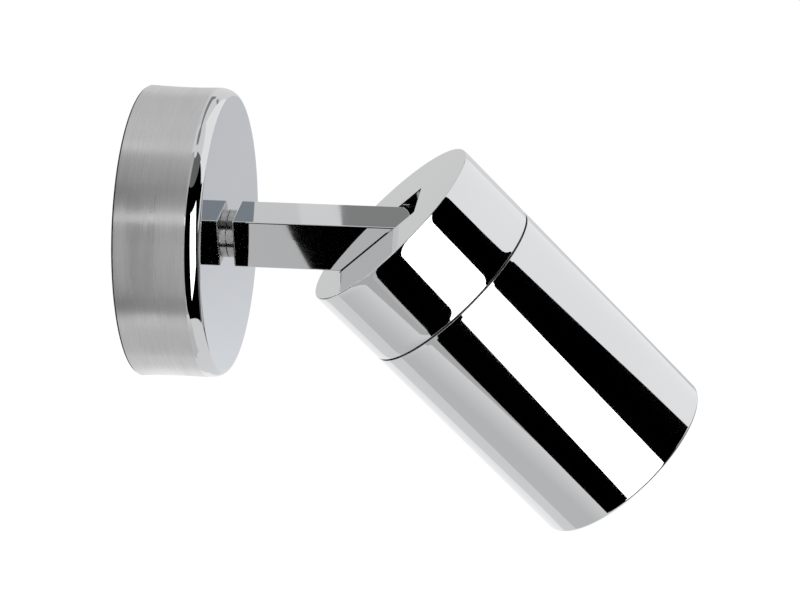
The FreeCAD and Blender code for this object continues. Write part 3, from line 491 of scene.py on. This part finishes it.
def polished_chrome(name, base, low=0.015, high=0.05):
    """Mirror plate with faint polishing haze and fine wiping marks."""
    finish = Finish(name, base, metallic=1.0, roughness=low)
    haze = finish.noise(35.0, detail=4.0)
    finish.to(finish.spread(haze, low, high), "Roughness")
    finish.vary(finish.noise(18.0, detail=2.0), base, 0.985, 1.01)
    marks = finish.noise(900.0, detail=2.0, stretch=(1.0, 0.05, 0.2))
    finish.bump(marks, strength=0.012, distance=0.02 * MM)
    return finish.material


def brushed_chrome(name, base, roughness):
    """Plate brushed round the swivel axis, so reflections smear along that axis."""
    finish = Finish(name, base, metallic=1.0, roughness=roughness)
    finish.set("Anisotropic", 0.9)
    finish.set("Anisotropic Rotation", 0.25)
    tangent = finish.node("ShaderNodeTangent", direction_type="RADIAL", axis="Y")
    finish.link(tangent.outputs["Tangent"], finish.shader.inputs["Tangent"])
    lines = finish.noise(2600.0, detail=3.0, stretch=(0.03, 1.0, 0.03), roughness=0.7)
    bands = finish.noise(220.0, detail=2.0, stretch=(0.05, 1.0, 0.05))
    finish.to(finish.spread(bands, roughness * 0.8, roughness * 1.2), "Roughness")
    finish.vary(lines, base, 0.93, 1.05)
    finish.bump(lines, strength=0.08, distance=0.03 * MM)
    return finish.material


def plated_steel(name, base, roughness=0.32, grain=2400.0):
    """Plated or drawn metal that isn't polished: soft sheen, faint grain, cloudy tone."""
    finish = Finish(name, base, metallic=1.0, roughness=roughness)
    clouds = finish.noise(90.0, detail=4.0)
    finish.to(finish.spread(clouds, roughness * 0.75, roughness * 1.3), "Roughness")
    finish.vary(clouds, base, 0.86, 1.06)
    finish.bump(finish.noise(grain, detail=3.0), strength=0.08, distance=0.05 * MM)
    return finish.material


def moulded(name, base, roughness, grain, depth, sheen=0.0):
    """Moulded or fired surface: fine grain and slight unevenness of tone."""
    finish = Finish(name, base, roughness=roughness)
    patches = finish.noise(70.0, detail=3.0)
    finish.to(finish.spread(patches, roughness * 0.85, roughness * 1.15), "Roughness")
    finish.vary(patches, base, 0.93, 1.04)
    finish.bump(finish.noise(grain, detail=4.0), strength=depth, distance=0.1 * MM)
    if sheen:
        finish.set("Sheen Weight", sheen)
    return finish.material


def clear_glass(name):
    finish = Finish(name, (0.97, 0.985, 0.98), roughness=0.02)
    finish.set("Transmission Weight", 1.0)
    finish.set("IOR", 1.5)
    smudge = finish.noise(60.0, detail=3.0)
    finish.to(finish.spread(smudge, 0.01, 0.06), "Roughness")
    return finish.material


def striped_lead(name, first, second):
    """Two-tone insulation: stripes along the lead."""
    finish = Finish(name, first, roughness=0.42)
    wave = finish.node("ShaderNodeTexWave", wave_type="BANDS", bands_direction="X")
    wave.inputs["Scale"].default_value = 420.0
    wave.inputs["Distortion"].default_value = 0.4
    finish.link(finish.place, wave.inputs["Vector"])
    ramp = finish.node("ShaderNodeValToRGB")
    ramp.color_ramp.interpolation = "CONSTANT"
    ramp.color_ramp.elements[0].color = (*first, 1.0)
    ramp.color_ramp.elements[1].position = 0.5
    ramp.color_ramp.elements[1].color = (*second, 1.0)
    finish.link(wave.outputs["Fac"], ramp.inputs["Fac"])
    finish.to(ramp.outputs["Color"], "Base Color")
    finish.bump(finish.noise(1800.0), strength=0.06, distance=0.05 * MM)
    return finish.material


def coat_mesh(mesh, *materials):
    """Gives a mesh its finishes. One with marked faces gets them before it is cut."""
    for material in materials:
        mesh.materials.append(material)


def coat_node(name, material):
    """Gives a CAD node that stays in view its finish, through its material slots."""
    node = frame["nodes"][name]
    if not node.material_slots:
        node.data.materials.append(material)
    for place in node.material_slots:
        place.material = material


made_finishes = {}


def finish_for(name):
    """Makes each finish once."""
    if name in made_finishes:
        return made_finishes[name]
    tones = settings("spotlight_finishes")
    makers = {
        "chrome": lambda: polished_chrome("polished_chrome", tones.chrome),
        "satin_chrome": lambda: polished_chrome("satin_chrome", tones.chrome, low=0.05, high=0.09),
        "brushed": lambda: brushed_chrome("brushed_chrome", tones.brushed, tones.brushing),
        "turned": lambda: brushed_chrome("turned_steel", shade(tones.brushed, 0.62), 0.22),
        # Painted shade: dark unpolished finish on the inner faces and on the spigot seen in the joint gap
        "inside": lambda: plated_steel("unpolished_and_shaded_inside", tones.inside, 0.42, grain=2000.0),
        "zinc": lambda: plated_steel("zinc_plate", tones.zinc),
        "steel": lambda: plated_steel("bright_steel", shade(tones.zinc, 1.08), 0.24, grain=3600.0),
        "brass": lambda: plated_steel("brass", tones.brass, 0.28, grain=2800.0),
        "rubber": lambda: moulded(
            "seal_rubber", tones.rubber, 0.62, grain=1800.0, depth=0.15, sheen=0.1
        ),
        "nylon": lambda: moulded("nylon", tones.nylon, 0.42, grain=1200.0, depth=0.06),
        "ceramic": lambda: moulded("fired_ceramic", tones.ceramic, 0.58, grain=900.0, depth=0.18),
        "lamp_base": lambda: moulded(
            "lamp_base", shade(tones.ceramic, 1.12), 0.35, grain=800.0, depth=0.05
        ),
        "mirror": lambda: polished_chrome("lamp_mirror", LAMP_MIRROR, low=0.02, high=0.08),
        "glass": lambda: clear_glass("clear_glass"),
        "brown": lambda: moulded("lead_brown", LEAD_BROWN, 0.4, grain=1800.0, depth=0.05),
        "blue": lambda: moulded("lead_blue", LEAD_BLUE, 0.4, grain=1800.0, depth=0.05),
        "striped": lambda: striped_lead("lead_green_yellow", LEAD_GREEN, LEAD_YELLOW),
    }
    made_finishes[name] = makers[name]()
    return made_finishes[name]


# ---------------------------------------------------------------- pieces

class SPOTLIGHT_OT_cup(bpy.types.Operator):
    """Round cup on the wall: polished front and rim, brushed and slightly waisted side"""

    bl_idname = "spotlight.cup"
    bl_label = "Cup"

    def execute(self, context):
        cup = settings("spotlight_cup")
        arm = settings("spotlight_arm")
        outer = cup.diameter / 2
        inner = outer - cup.sheet
        hole = arm.stem_hole / 2
        back = cup.seal
        middle = (back + cup.depth) / 2
        half = (cup.depth - back) / 2
        side_top = cup.depth - cup.shoulder
        side = []
        for step in range(SIDE_STEPS + 1):
            along = back + (side_top - back) * step / SIDE_STEPS
            draw = cup.waist * (1 - ((along - middle) / half) ** 2)
            side.append(Vector((outer - draw, along)))
        rim_start = side[-1]
        rim = []
        for step in range(1, RIM_STEPS + 1):
            angle = math.pi / 2 * step / RIM_STEPS
            rim.append(Vector((
                rim_start.x - cup.corner * (1 - math.cos(angle)),
                side_top + cup.shoulder * math.sin(angle),
            )))
        guard = 0.4 * MM
        face_ring = inner * 0.55
        inside_ring = inner * 0.6
        face = [
            Vector((rim[-1].x - guard, cup.depth)),
            Vector((face_ring, cup.depth)),
            Vector((hole + guard, cup.depth)),
            Vector((hole, cup.depth)),
            Vector((hole, cup.depth - cup.sheet)),
        ]
        inside = closed_profile([
            (inside_ring, cup.depth - cup.sheet, 0.0),
            (inner, cup.depth - cup.sheet, cup.corner - cup.sheet),
            (inner, back, 0.0),
        ])
        profile = side + rim + face + inside

        def marks(start, end):
            """The side up to the rim is brushed, and all else polished."""
            on_side = min(start.x, end.x) > inner + CLEARANCE
            return 1 if on_side and max(start.y, end.y) <= side_top + HAIR else 0

        mesh = turned_mesh(
            "cup", profile, wall_place(), settings("spotlight_stage").segments, marks
        )
        coat_mesh(mesh, finish_for("chrome"), finish_for("brushed"))
        mesh = cut(mesh, rod_mesh(
            "lock_hole", Vector((0, -cup.lock_height, -inner + REACH_IN)),
            Vector((0, -cup.lock_height, -outer - MM)), cup.lock_hole / 2, segments=48,
        ))
        smooth(mesh)
        mesh = settle_normals(mesh)
        new_piece("cup", mesh, "base", "chrome", "base_cover")
        return {"FINISHED"}


class SPOTLIGHT_OT_neck(bpy.types.Operator):
    """Turned collar between the cup and the bar"""

    bl_idname = "spotlight.neck"
    bl_label = "Neck"

    def execute(self, context):
        cup = settings("spotlight_cup")
        arm = settings("spotlight_arm")
        outer = arm.neck_diameter / 2
        hole = arm.stem_hole / 2
        start = cup.depth + CLEARANCE
        end = cup.depth + arm.neck_length
        edge = 0.2 * MM
        profile = closed_profile([
            (hole, start, 0.0), (outer, start, edge), (outer, end, edge), (hole, end, 0.0),
        ])
        mesh = turned_mesh("neck", profile, wall_place(), segments=160)
        smooth(mesh)
        piece = new_piece("neck", mesh, "arm", "chrome", "neck_collar")
        coat_mesh(piece.data, finish_for("turned"))
        return {"FINISHED"}


class SPOTLIGHT_OT_arm(bpy.types.Operator):
    """Square bar with eased edges, a bore for the leads and a round end at the pivot"""

    bl_idname = "spotlight.arm"
    bl_label = "Arm"

    def execute(self, context):
        cup = settings("spotlight_cup")
        arm = settings("spotlight_arm")
        half = arm.width / 2
        start = cup.depth + arm.neck_length
        pivot = start + arm.reach
        outline = [(-half, start), (half, start)]
        for step in range(NOSE_STEPS + 1):
            angle = -math.pi / 2 + math.pi * step / NOSE_STEPS
            outline.append((-half * math.sin(angle), pivot + half * math.cos(angle)))
        shape = bmesh.new()
        ring = [shape.verts.new((-half, up, out)) for up, out in outline]
        face = shape.faces.new(ring)
        made = bmesh.ops.extrude_face_region(shape, geom=[face])
        moved = [item for item in made["geom"] if isinstance(item, bmesh.types.BMVert)]
        bmesh.ops.translate(shape, verts=moved, vec=(arm.width, 0, 0))
        bmesh.ops.recalc_face_normals(shape, faces=shape.faces)
        square = math.radians(60)
        sharp = [edge for edge in shape.edges if edge.calc_face_angle(0) > square]
        bmesh.ops.bevel(
            shape, geom=sharp, offset=arm.edge, segments=4, profile=0.5, affect="EDGES",
            clamp_overlap=True,
        )
        shape.transform(wall_place())
        mesh = mesh_from(shape, "arm")
        grip_end = start + arm.stem_grip
        past = pivot + half + MM
        side = half + MM
        stem = arm.stem_hole / 2
        grub = -start - GRUB_PLACE
        mesh = cut(
            mesh,
            rod_mesh("bore", Vector((0, -grip_end + HAIR, 0)), Vector((0, -past, 0)),
                     arm.bore / 2),
            rod_mesh("socket", Vector((0, -start + MM, 0)), Vector((0, -grip_end, 0)), stem),
            rod_mesh("pin_hole", Vector((-side, -pivot, 0)), Vector((side, -pivot, 0)),
                     arm.pin / 2, segments=64),
            rod_mesh("grub_hole", Vector((0, grub, -side)), Vector((0, grub, -stem + REACH_IN)),
                     SCREW_HOLE, segments=48),
        )
        smooth(mesh)
        mesh = settle_normals(mesh)
        piece = new_piece("arm", mesh, "arm", "chrome", "arm_bar")
        coat_mesh(piece.data, finish_for("chrome"))
        return {"FINISHED"}


class SPOTLIGHT_OT_rear_cap(bpy.types.Operator):
    """Rear cup of the head with the slot that the arm swings in"""

    bl_idname = "spotlight.rear_cap"
    bl_label = "Rear cap"

    def execute(self, context):
        head = settings("spotlight_head")
        outer = head.diameter / 2
        inner = outer - head.cap_wall
        front = head.cap_length
        spigot = outer - head.barrel_wall - CLEARANCE
        spigot_inner = spigot - SPIGOT_WALL
        spigot_end = front + SPIGOT_LENGTH
        groove_floor = spigot - GROOVE_DEPTH
        groove = front + GROOVE_PLACE
        inner_edge = 0.8 * MM
        rear_crown = head.crown * 0.8
        side = crowned(outer, 0.0, front, rear_crown, head.crown, head.fall, clear=0.45 * MM)
        profile = closed_profile([
            (0.0, 0.0, 0.0),
            (side[0][0], 0.0, head.edge),
            *side[1:-1],
            (side[-1][0], front, JOINT_EDGE),
            (spigot, front, 0.0),
            (spigot, groove - GROOVE_HALF, 0.0),
            (groove_floor, groove - GROOVE_HALF, 0.0),
            (groove_floor, groove + GROOVE_HALF, 0.0),
            (spigot, groove + GROOVE_HALF, 0.0),
            (spigot, spigot_end, SPIGOT_EDGE),
            (spigot_inner, spigot_end, SPIGOT_EDGE),
            (spigot_inner, front - TAPER_END, 0.0),
            (inner, front - TAPER_START, 0.0),
            (inner, head.rear_wall, inner_edge),
            (0.0, head.rear_wall, 0.0),
        ])
        flush = 1e-7
        skin = 0.8 * MM

        def marks(start, end):
            """The rear face is satin, the inside unpolished and darkened as painted shade in the gap and the
            hollow, and all else polished.
            """
            if max(start.y, end.y) < flush:
                return 1
            inside = max(start.x, end.x) < outer - skin and min(start.y, end.y) > MM
            return 2 if inside else 0

        mesh = turned_mesh(
            "rear_cap", profile, head_place(), settings("spotlight_stage").segments, marks
        )
        coat_mesh(mesh, finish_for("chrome"), finish_for("satin_chrome"), finish_for("inside"))
        half = head.slot_width / 2
        mesh = cut(mesh, box_mesh(
            "slot", (-half, -head.slot_low, -MM), (half, head.slot_high, head.rear_wall + MM),
            head_place(),
        ))
        mesh = cut(mesh, self.bevel_mesh(head))
        smooth(mesh)
        mesh = settle_normals(mesh)
        new_piece("rear_cap_shell", mesh, "head", "chrome", "rear_cap")
        self.add_posts(head)
        return {"FINISHED"}

    def bevel_mesh(self, head):
        """Cutter that widens towards the outside and takes off the slot's sharp rim."""
        half = head.slot_width / 2
        shape = bmesh.new()
        rings = []
        for grow, along in ((-HAIR, head.slot_edge), (head.slot_edge + MM, -MM)):
            rings.append([shape.verts.new(corner) for corner in (
                (-half - grow, -head.slot_low - grow, along),
                (half + grow, -head.slot_low - grow, along),
                (half + grow, head.slot_high + grow, along),
                (-half - grow, head.slot_high + grow, along),
            )])
        shape.faces.new(rings[0])
        shape.faces.new(rings[1])
        for side in range(4):
            after = (side + 1) % 4
            shape.faces.new((rings[0][side], rings[0][after], rings[1][after], rings[1][side]))
        bmesh.ops.recalc_face_normals(shape, faces=shape.faces)
        shape.transform(head_place())
        return mesh_from(shape, "slot_bevel")

    def add_posts(self, head):
        """The two screw posts inside the cap."""
        floor = head.rear_wall + POST_FLOOR
        root = head.rear_wall - OVERLAP
        for side, name in ((-1, "left"), (1, "right")):
            profile = closed_profile([
                (SCREW_HOLE, floor, 0.0),
                (0.0, floor, 0.0),
                (0.0, root, 0.0),
                (POST_RADIUS, root, 0.0),
                (POST_RADIUS, POST_END, POST_EDGE),
                (SCREW_HOLE, POST_END, FINE_EDGE),
            ])
            place = head_place() @ Matrix.Translation((POST_SIDE * side, 0, 0))
            mesh = turned_mesh("post", profile, place, segments=64)
            smooth(mesh)
            post = new_piece(f"cap_post_{name}", mesh, "head", "chrome")
            coat_mesh(post.data, finish_for("zinc"))


class SPOTLIGHT_OT_barrel(bpy.types.Operator):
    """Front tube of the head with its inner lip"""

    bl_idname = "spotlight.barrel"
    bl_label = "Barrel"

    def execute(self, context):
        head = settings("spotlight_head")
        outer = head.diameter / 2
        bore = outer - head.barrel_wall
        start = head.cap_length + head.joint_gap
        lip_back = head.length - head.lip
        front_edge = 0.7 * MM
        lip_edge = 0.3 * MM
        crown = head.crown * 0.5
        side = crowned(outer, start, head.length, crown, 0.0, head.fall / 3, clear=0.9 * MM)
        profile = closed_profile([
            (bore, start, FINE_EDGE),
            (side[0][0], start, JOINT_EDGE),
            *side[1:-1],
            (side[-1][0], head.length, front_edge),
            (head.opening / 2, head.length, lip_edge),
            (head.opening / 2, lip_back, FINE_EDGE),
            (bore, lip_back, 0.0),
        ])

        def marks(start, end):
            """The bore is unpolished and darkened as painted shade, and all else polished."""
            inside = max(start.x, end.x) < bore + HAIR and max(start.y, end.y) < lip_back
            return 1 if inside else 0

        mesh = turned_mesh(
            "barrel", profile, head_place(), settings("spotlight_stage").segments, marks
        )
        coat_mesh(mesh, finish_for("chrome"), finish_for("inside"))
        smooth(mesh)
        mesh = settle_normals(mesh)
        new_piece("barrel_tube", mesh, "barrel", "chrome", "barrel")
        return {"FINISHED"}


class SPOTLIGHT_OT_finishes(bpy.types.Operator):
    """Gives each CAD node that stays in view its finish"""

    bl_idname = "spotlight.finishes"
    bl_label = "Finishes"

    def execute(self, context):
        by_slot = {
            "chrome": "chrome", "zinc_plate": "zinc", "steel": "steel", "brass": "brass",
            "seal_rubber": "rubber", "nylon": "nylon", "ceramic": "ceramic",
            "lamp_base_ceramic": "lamp_base", "lamp_mirror": "mirror", "clear_glass": "glass",
            "lead_brown": "brown", "lead_blue": "blue", "lead_green_yellow": "striped",
        }
        for entry in frame["record"]["subparts"]:
            node = frame["nodes"][entry["node"]]
            if not node.hide_render:
                coat_node(entry["node"], finish_for(by_slot[entry["material_slot"]]))
        return {"FINISHED"}


# ---------------------------------------------------------------- stage

def glow(name, strength, tone=(1.0, 1.0, 1.0), fade=None):
    """Plain emission; fade is (low height, high height, strength at the high one)."""
    material = bpy.data.materials.new(name)
    material.use_nodes = True
    nodes = material.node_tree.nodes
    nodes.remove(nodes["Principled BSDF"])
    light = nodes.new("ShaderNodeEmission")
    light.inputs["Color"].default_value = (*tone, 1.0)
    light.inputs["Strength"].default_value = strength
    links = material.node_tree.links
    if fade:
        place = nodes.new("ShaderNodeTexCoord")
        parts = nodes.new("ShaderNodeSeparateXYZ")
        links.new(place.outputs["Object"], parts.inputs[0])
        ramp = nodes.new("ShaderNodeMapRange")
        for socket, value in zip(("From Min", "From Max", "To Min", "To Max"),
                                 (fade[0], fade[1], strength, fade[2])):
            ramp.inputs[socket].default_value = value
        links.new(parts.outputs["Z"], ramp.inputs["Value"])
        links.new(ramp.outputs["Result"], light.inputs["Strength"])
    links.new(light.outputs["Emission"], nodes["Material Output"].inputs["Surface"])
    return material


def card(name, rows, distance, material):
    """Card round the light; azimuth 0 is at -Y and elevation 0 is level."""
    row_height = 4
    steps = 24
    shape = bmesh.new()
    grid = []
    for (low, low_left, low_right), (high, high_left, high_right) in zip(rows, rows[1:]):
        levels = max(1, round((high - low) / row_height))
        for level in range(levels + 1):
            if level == 0 and grid:
                continue
            share_up = level / levels
            elevation = low + (high - low) * share_up
            left = low_left + (high_left - low_left) * share_up
            right = low_right + (high_right - low_right) * share_up
            line = []
            for step in range(steps + 1):
                turn = math.radians(left + (right - left) * step / steps)
                rise = math.radians(elevation)
                way = Vector((
                    math.sin(turn) * math.cos(rise),
                    -math.cos(turn) * math.cos(rise),
                    math.sin(rise),
                ))
                line.append(shape.verts.new(way * distance + CARD_CENTRE))
            grid.append(line)
    for low_line, high_line in zip(grid, grid[1:]):
        for step in range(steps):
            shape.faces.new((
                low_line[step], low_line[step + 1], high_line[step + 1], high_line[step],
            ))
    board = new_object(name, mesh_from(shape, name))
    board.data.materials.append(material)
    board.visible_camera = False
    board.visible_diffuse = False
    board.visible_shadow = False


def seen_white(tree, camera_strength, mirror_strength):
    """The share that camera, mirror and glass rays see, and its strength for them."""
    path = tree.nodes.new("ShaderNodeLightPath")
    either = tree.nodes.new("ShaderNodeMath")
    either.operation = "MAXIMUM"
    tree.links.new(path.outputs["Is Glossy Ray"], either.inputs[0])
    tree.links.new(path.outputs["Is Transmission Ray"], either.inputs[1])
    strength = tree.nodes.new("ShaderNodeMix")
    strength.data_type = "FLOAT"
    strength.inputs["A"].default_value = camera_strength
    strength.inputs["B"].default_value = mirror_strength
    tree.links.new(either.outputs[0], strength.inputs["Factor"])
    shown = tree.nodes.new("ShaderNodeMath")
    shown.operation = "MAXIMUM"
    tree.links.new(either.outputs[0], shown.inputs[0])
    tree.links.new(path.outputs["Is Camera Ray"], shown.inputs[1])
    return shown.outputs[0], strength.outputs["Result"]


CARD_CENTRE = Vector((0, -0.08, -0.02))
CARD_STEP = 0.004  # each card stands this share of the distance nearer than the last

SURROUND_WHITE = 1.0  # strength of the surround as the camera sees it
FLOOR_WHITE = 1.07  # and of the floor
FLOOR_GLOW = 0.85  # share of the floor's own light in what the camera sees
SURROUND_LIGHT = 0.7  # strength that lights the object

# Each lamp is a name, a place, a size and a power.
LAMPS = (
    ("key_lamp", (-1.2, -1.6, 1.4), 1.2, 22.0),
    ("fill_lamp", (1.4, -1.0, 1.0), 1.4, 10.0),
)

CAMERA_LENS = 98.185
CAMERA_PLACE = Vector((-0.562371, -0.156534, 0.273716))
CAMERA_RIGHT = Vector((0.13405778, -0.99072773, -0.02206964))
CAMERA_UP = Vector((0.45712367, 0.04206417, 0.88840788))

# Each card is a name, a tone and rows of (elevation, left azimuth, right azimuth) in degrees.
# A later card stands a little nearer and covers the earlier ones.
CARDS = (
    ("left_card", "grey", ((-40, -160, -95), (64, -160, -95))),
    ("left_foot_card", "foot", ((-80, -175, -90), (-38.5, -175, -90))),
    ("far_left_card", "soft", ((-24, -165, -114), (14, -165, -114))),
    ("left_strip", "bright", ((30, -160, -100), (36, -160, -100))),
    ("arm_card", "middle", ((-34, -106.4, -99), (-28, -106.8, -99), (-20, -107.2, -99))),
    ("left_zenith_card", "grey", ((63, -175, -95), (84, -175, -95))),
    ("zenith_card", "dim", ((58, -105, 0), (84, -105, 0))),
    ("back_card", "soft", ((-30, 103, 165), (62, 103, 165))),
    ("back_foot_card", "pale", ((-62, 100, 140), (-31, 100, 140))),
    ("front_pale_card", "pale", ((-13, 60, 72.5), (-4, 40, 72.5), (14, 0, 72.5), (60, -8, 72.5))),
    ("face_card", "blueish", ((-46, 58, 92), (-15, 58, 92))),
    ("slate_card", "slate", ((23, 73, 84), (28.5, 73, 84))),
    ("right_card", "shade", ((23, 91, 101.2), (28.5, 91, 101.2))),
    ("rim_card", "shade", ((28.5, 94, 101.2), (66, 93, 103), (84, 70, 130))),
    ("front_dim_card", "dim", ((-41, -13, 52), (-10, -13, 52), (6, -13, -11))),
    ("dark_surround", "dark", (
        (-43, -96.5, -12), (-39, -99.2, -12), (-34, -102.4, -12), (-30, -103.2, -12),
        (-26.5, -102.3, -12), (-20, -104.9, -12), (60, -107, -12),
    )),
    ("front_card", "dark", (
        (11.5, -13, -12), (14.5, -13, 15.5), (19.3, -13, 12), (28.6, -13, 1.4), (60, -13, -5),
    )),
    ("softbox", "white", (
        (-27, -75.6, -75), (-4, -75.6, -34.5), (40, -75.6, -36),
    )),
)


class SPOTLIGHT_OT_stage(bpy.types.Operator):
    """Pale floor, plain surround, softbox and dark cards, and the camera"""

    bl_idname = "spotlight.stage"
    bl_label = "Stage"

    def execute(self, context):
        stage = settings("spotlight_stage")
        self.make_floor(stage)
        self.make_world(stage)
        self.make_cards(stage)
        self.make_lamps()
        self.make_camera()
        return {"FINISHED"}

    def make_floor(self, stage):
        shape = bmesh.new()
        bmesh.ops.create_circle(shape, cap_ends=True, segments=96, radius=12.0)
        mesh = mesh_from(shape, "floor")
        floor = new_object("floor", mesh)
        floor.location = (0, 0, -stage.floor_drop)
        material = bpy.data.materials.new("pale_floor")
        material.use_nodes = True
        tree = material.node_tree
        shader = tree.nodes["Principled BSDF"]
        shader.inputs["Base Color"].default_value = (0.86, 0.86, 0.86, 1.0)
        shader.inputs["Roughness"].default_value = 0.9
        shader.inputs["Specular IOR Level"].default_value = 0.0
        light = tree.nodes.new("ShaderNodeEmission")
        shown, strength = seen_white(tree, FLOOR_WHITE, stage.surround)
        tree.links.new(strength, light.inputs["Strength"])
        part = tree.nodes.new("ShaderNodeMath")
        part.operation = "MULTIPLY"
        part.inputs[1].default_value = FLOOR_GLOW
        tree.links.new(shown, part.inputs[0])
        mix = tree.nodes.new("ShaderNodeMixShader")
        tree.links.new(part.outputs[0], mix.inputs["Fac"])
        tree.links.new(shader.outputs["BSDF"], mix.inputs[1])
        tree.links.new(light.outputs["Emission"], mix.inputs[2])
        tree.links.new(mix.outputs["Shader"], tree.nodes["Material Output"].inputs["Surface"])
        mesh.materials.append(material)

    def make_world(self, stage):
        world = bpy.data.worlds.new("surround")
        world.use_nodes = True
        tree = world.node_tree
        background = tree.nodes["Background"]
        background.inputs["Color"].default_value = (1.0, 1.0, 1.0, 1.0)
        shown, strength = seen_white(tree, SURROUND_WHITE, stage.surround)
        total = tree.nodes.new("ShaderNodeMix")
        total.data_type = "FLOAT"
        total.inputs["A"].default_value = SURROUND_LIGHT
        tree.links.new(shown, total.inputs["Factor"])
        tree.links.new(strength, total.inputs["B"])
        tree.links.new(total.outputs["Result"], background.inputs["Strength"])
        bpy.context.scene.world = world

    def make_cards(self, stage):
        tones = {
            "dark": glow("dark_card", 0.0),
            "dim": glow("dim_card", 0.16),
            "shade": glow("shade_card", 0.27),
            "slate": glow("slate_card", 0.36, (0.80, 0.90, 1.0)),
            "grey": glow("grey_card", 0.52),
            "middle": glow("middle_card", 0.58),
            "soft": glow("soft_card", 0.72),
            "foot": glow("foot_card", 0.62, fade=(-1.05, -0.78, 0.84)),
            "blueish": glow("face_card", 0.86, (0.94, 0.965, 1.0), (-0.64, -0.50, 0.66)),
            "pale": glow("pale_card", 1.0),
            "bright": glow("bright_strip", 1.5),
            "white": glow("white_softbox", stage.softbox),
        }
        for index, (name, tone, rows) in enumerate(CARDS):
            card(name, rows, stage.card_distance * (1 - CARD_STEP * index), tones[tone])

    def make_lamps(self):
        for name, place, size, power in LAMPS:
            data = bpy.data.lights.new(name, "AREA")
            data.size = size
            data.energy = power
            lamp = new_object(name, data)
            lamp.location = place
            lamp.rotation_euler = (-Vector(place)).to_track_quat("-Z", "Y").to_euler()
            lamp.visible_glossy = False
            lamp.visible_camera = False

    def make_camera(self):
        data = bpy.data.cameras.new("camera")
        data.sensor_fit = "HORIZONTAL"
        data.sensor_width = 36.0
        data.lens = CAMERA_LENS
        data.clip_start = 0.01
        data.clip_end = 50.0
        camera = new_object("camera", data)
        back = CAMERA_RIGHT.cross(CAMERA_UP).normalized()
        camera.matrix_world = placed(CAMERA_RIGHT, CAMERA_UP, back, CAMERA_PLACE)
        bpy.context.scene.camera = camera
        bpy.context.scene.view_settings.view_transform = "Standard"


class SPOTLIGHT_PT_panel(bpy.types.Panel):
    """Lists the spotlight's pieces"""

    bl_idname = "SPOTLIGHT_PT_panel"
    bl_label = "Wall Spotlight"
    bl_space_type = "VIEW_3D"
    bl_region_type = "UI"
    bl_category = "Wall Spotlight"

    def draw(self, context):
        for operator in STEPS:
            self.layout.operator(operator.bl_idname)


GROUPS = {
    "spotlight_cup": CupSizes,
    "spotlight_arm": ArmSizes,
    "spotlight_head": HeadSizes,
    "spotlight_finishes": Finishes,
    "spotlight_stage": StageSettings,
}

STEPS = (
    SPOTLIGHT_OT_stage,
    SPOTLIGHT_OT_cup,
    SPOTLIGHT_OT_neck,
    SPOTLIGHT_OT_arm,
    SPOTLIGHT_OT_rear_cap,
    SPOTLIGHT_OT_barrel,
    SPOTLIGHT_OT_finishes,
)


def register():
    for group in GROUPS.values():
        bpy.utils.register_class(group)
    for name, group in GROUPS.items():
        setattr(bpy.types.Scene, name, PointerProperty(type=group))
    for operator in STEPS:
        bpy.utils.register_class(operator)
    bpy.utils.register_class(SPOTLIGHT_PT_panel)


def unregister():
    bpy.utils.unregister_class(SPOTLIGHT_PT_panel)
    for operator in reversed(STEPS):
        bpy.utils.unregister_class(operator)
    for name in GROUPS:
        delattr(bpy.types.Scene, name)
    for group in reversed(list(GROUPS.values())):
        bpy.utils.unregister_class(group)


def main():
    register()
    bpy.ops.spotlight.stage()
    bpy.ops.spotlight.cup()
    bpy.ops.spotlight.neck()
    bpy.ops.spotlight.arm()
    bpy.ops.spotlight.rear_cap()
    bpy.ops.spotlight.barrel()
    bpy.ops.spotlight.finishes()


if __name__ == "__main__":
    main()
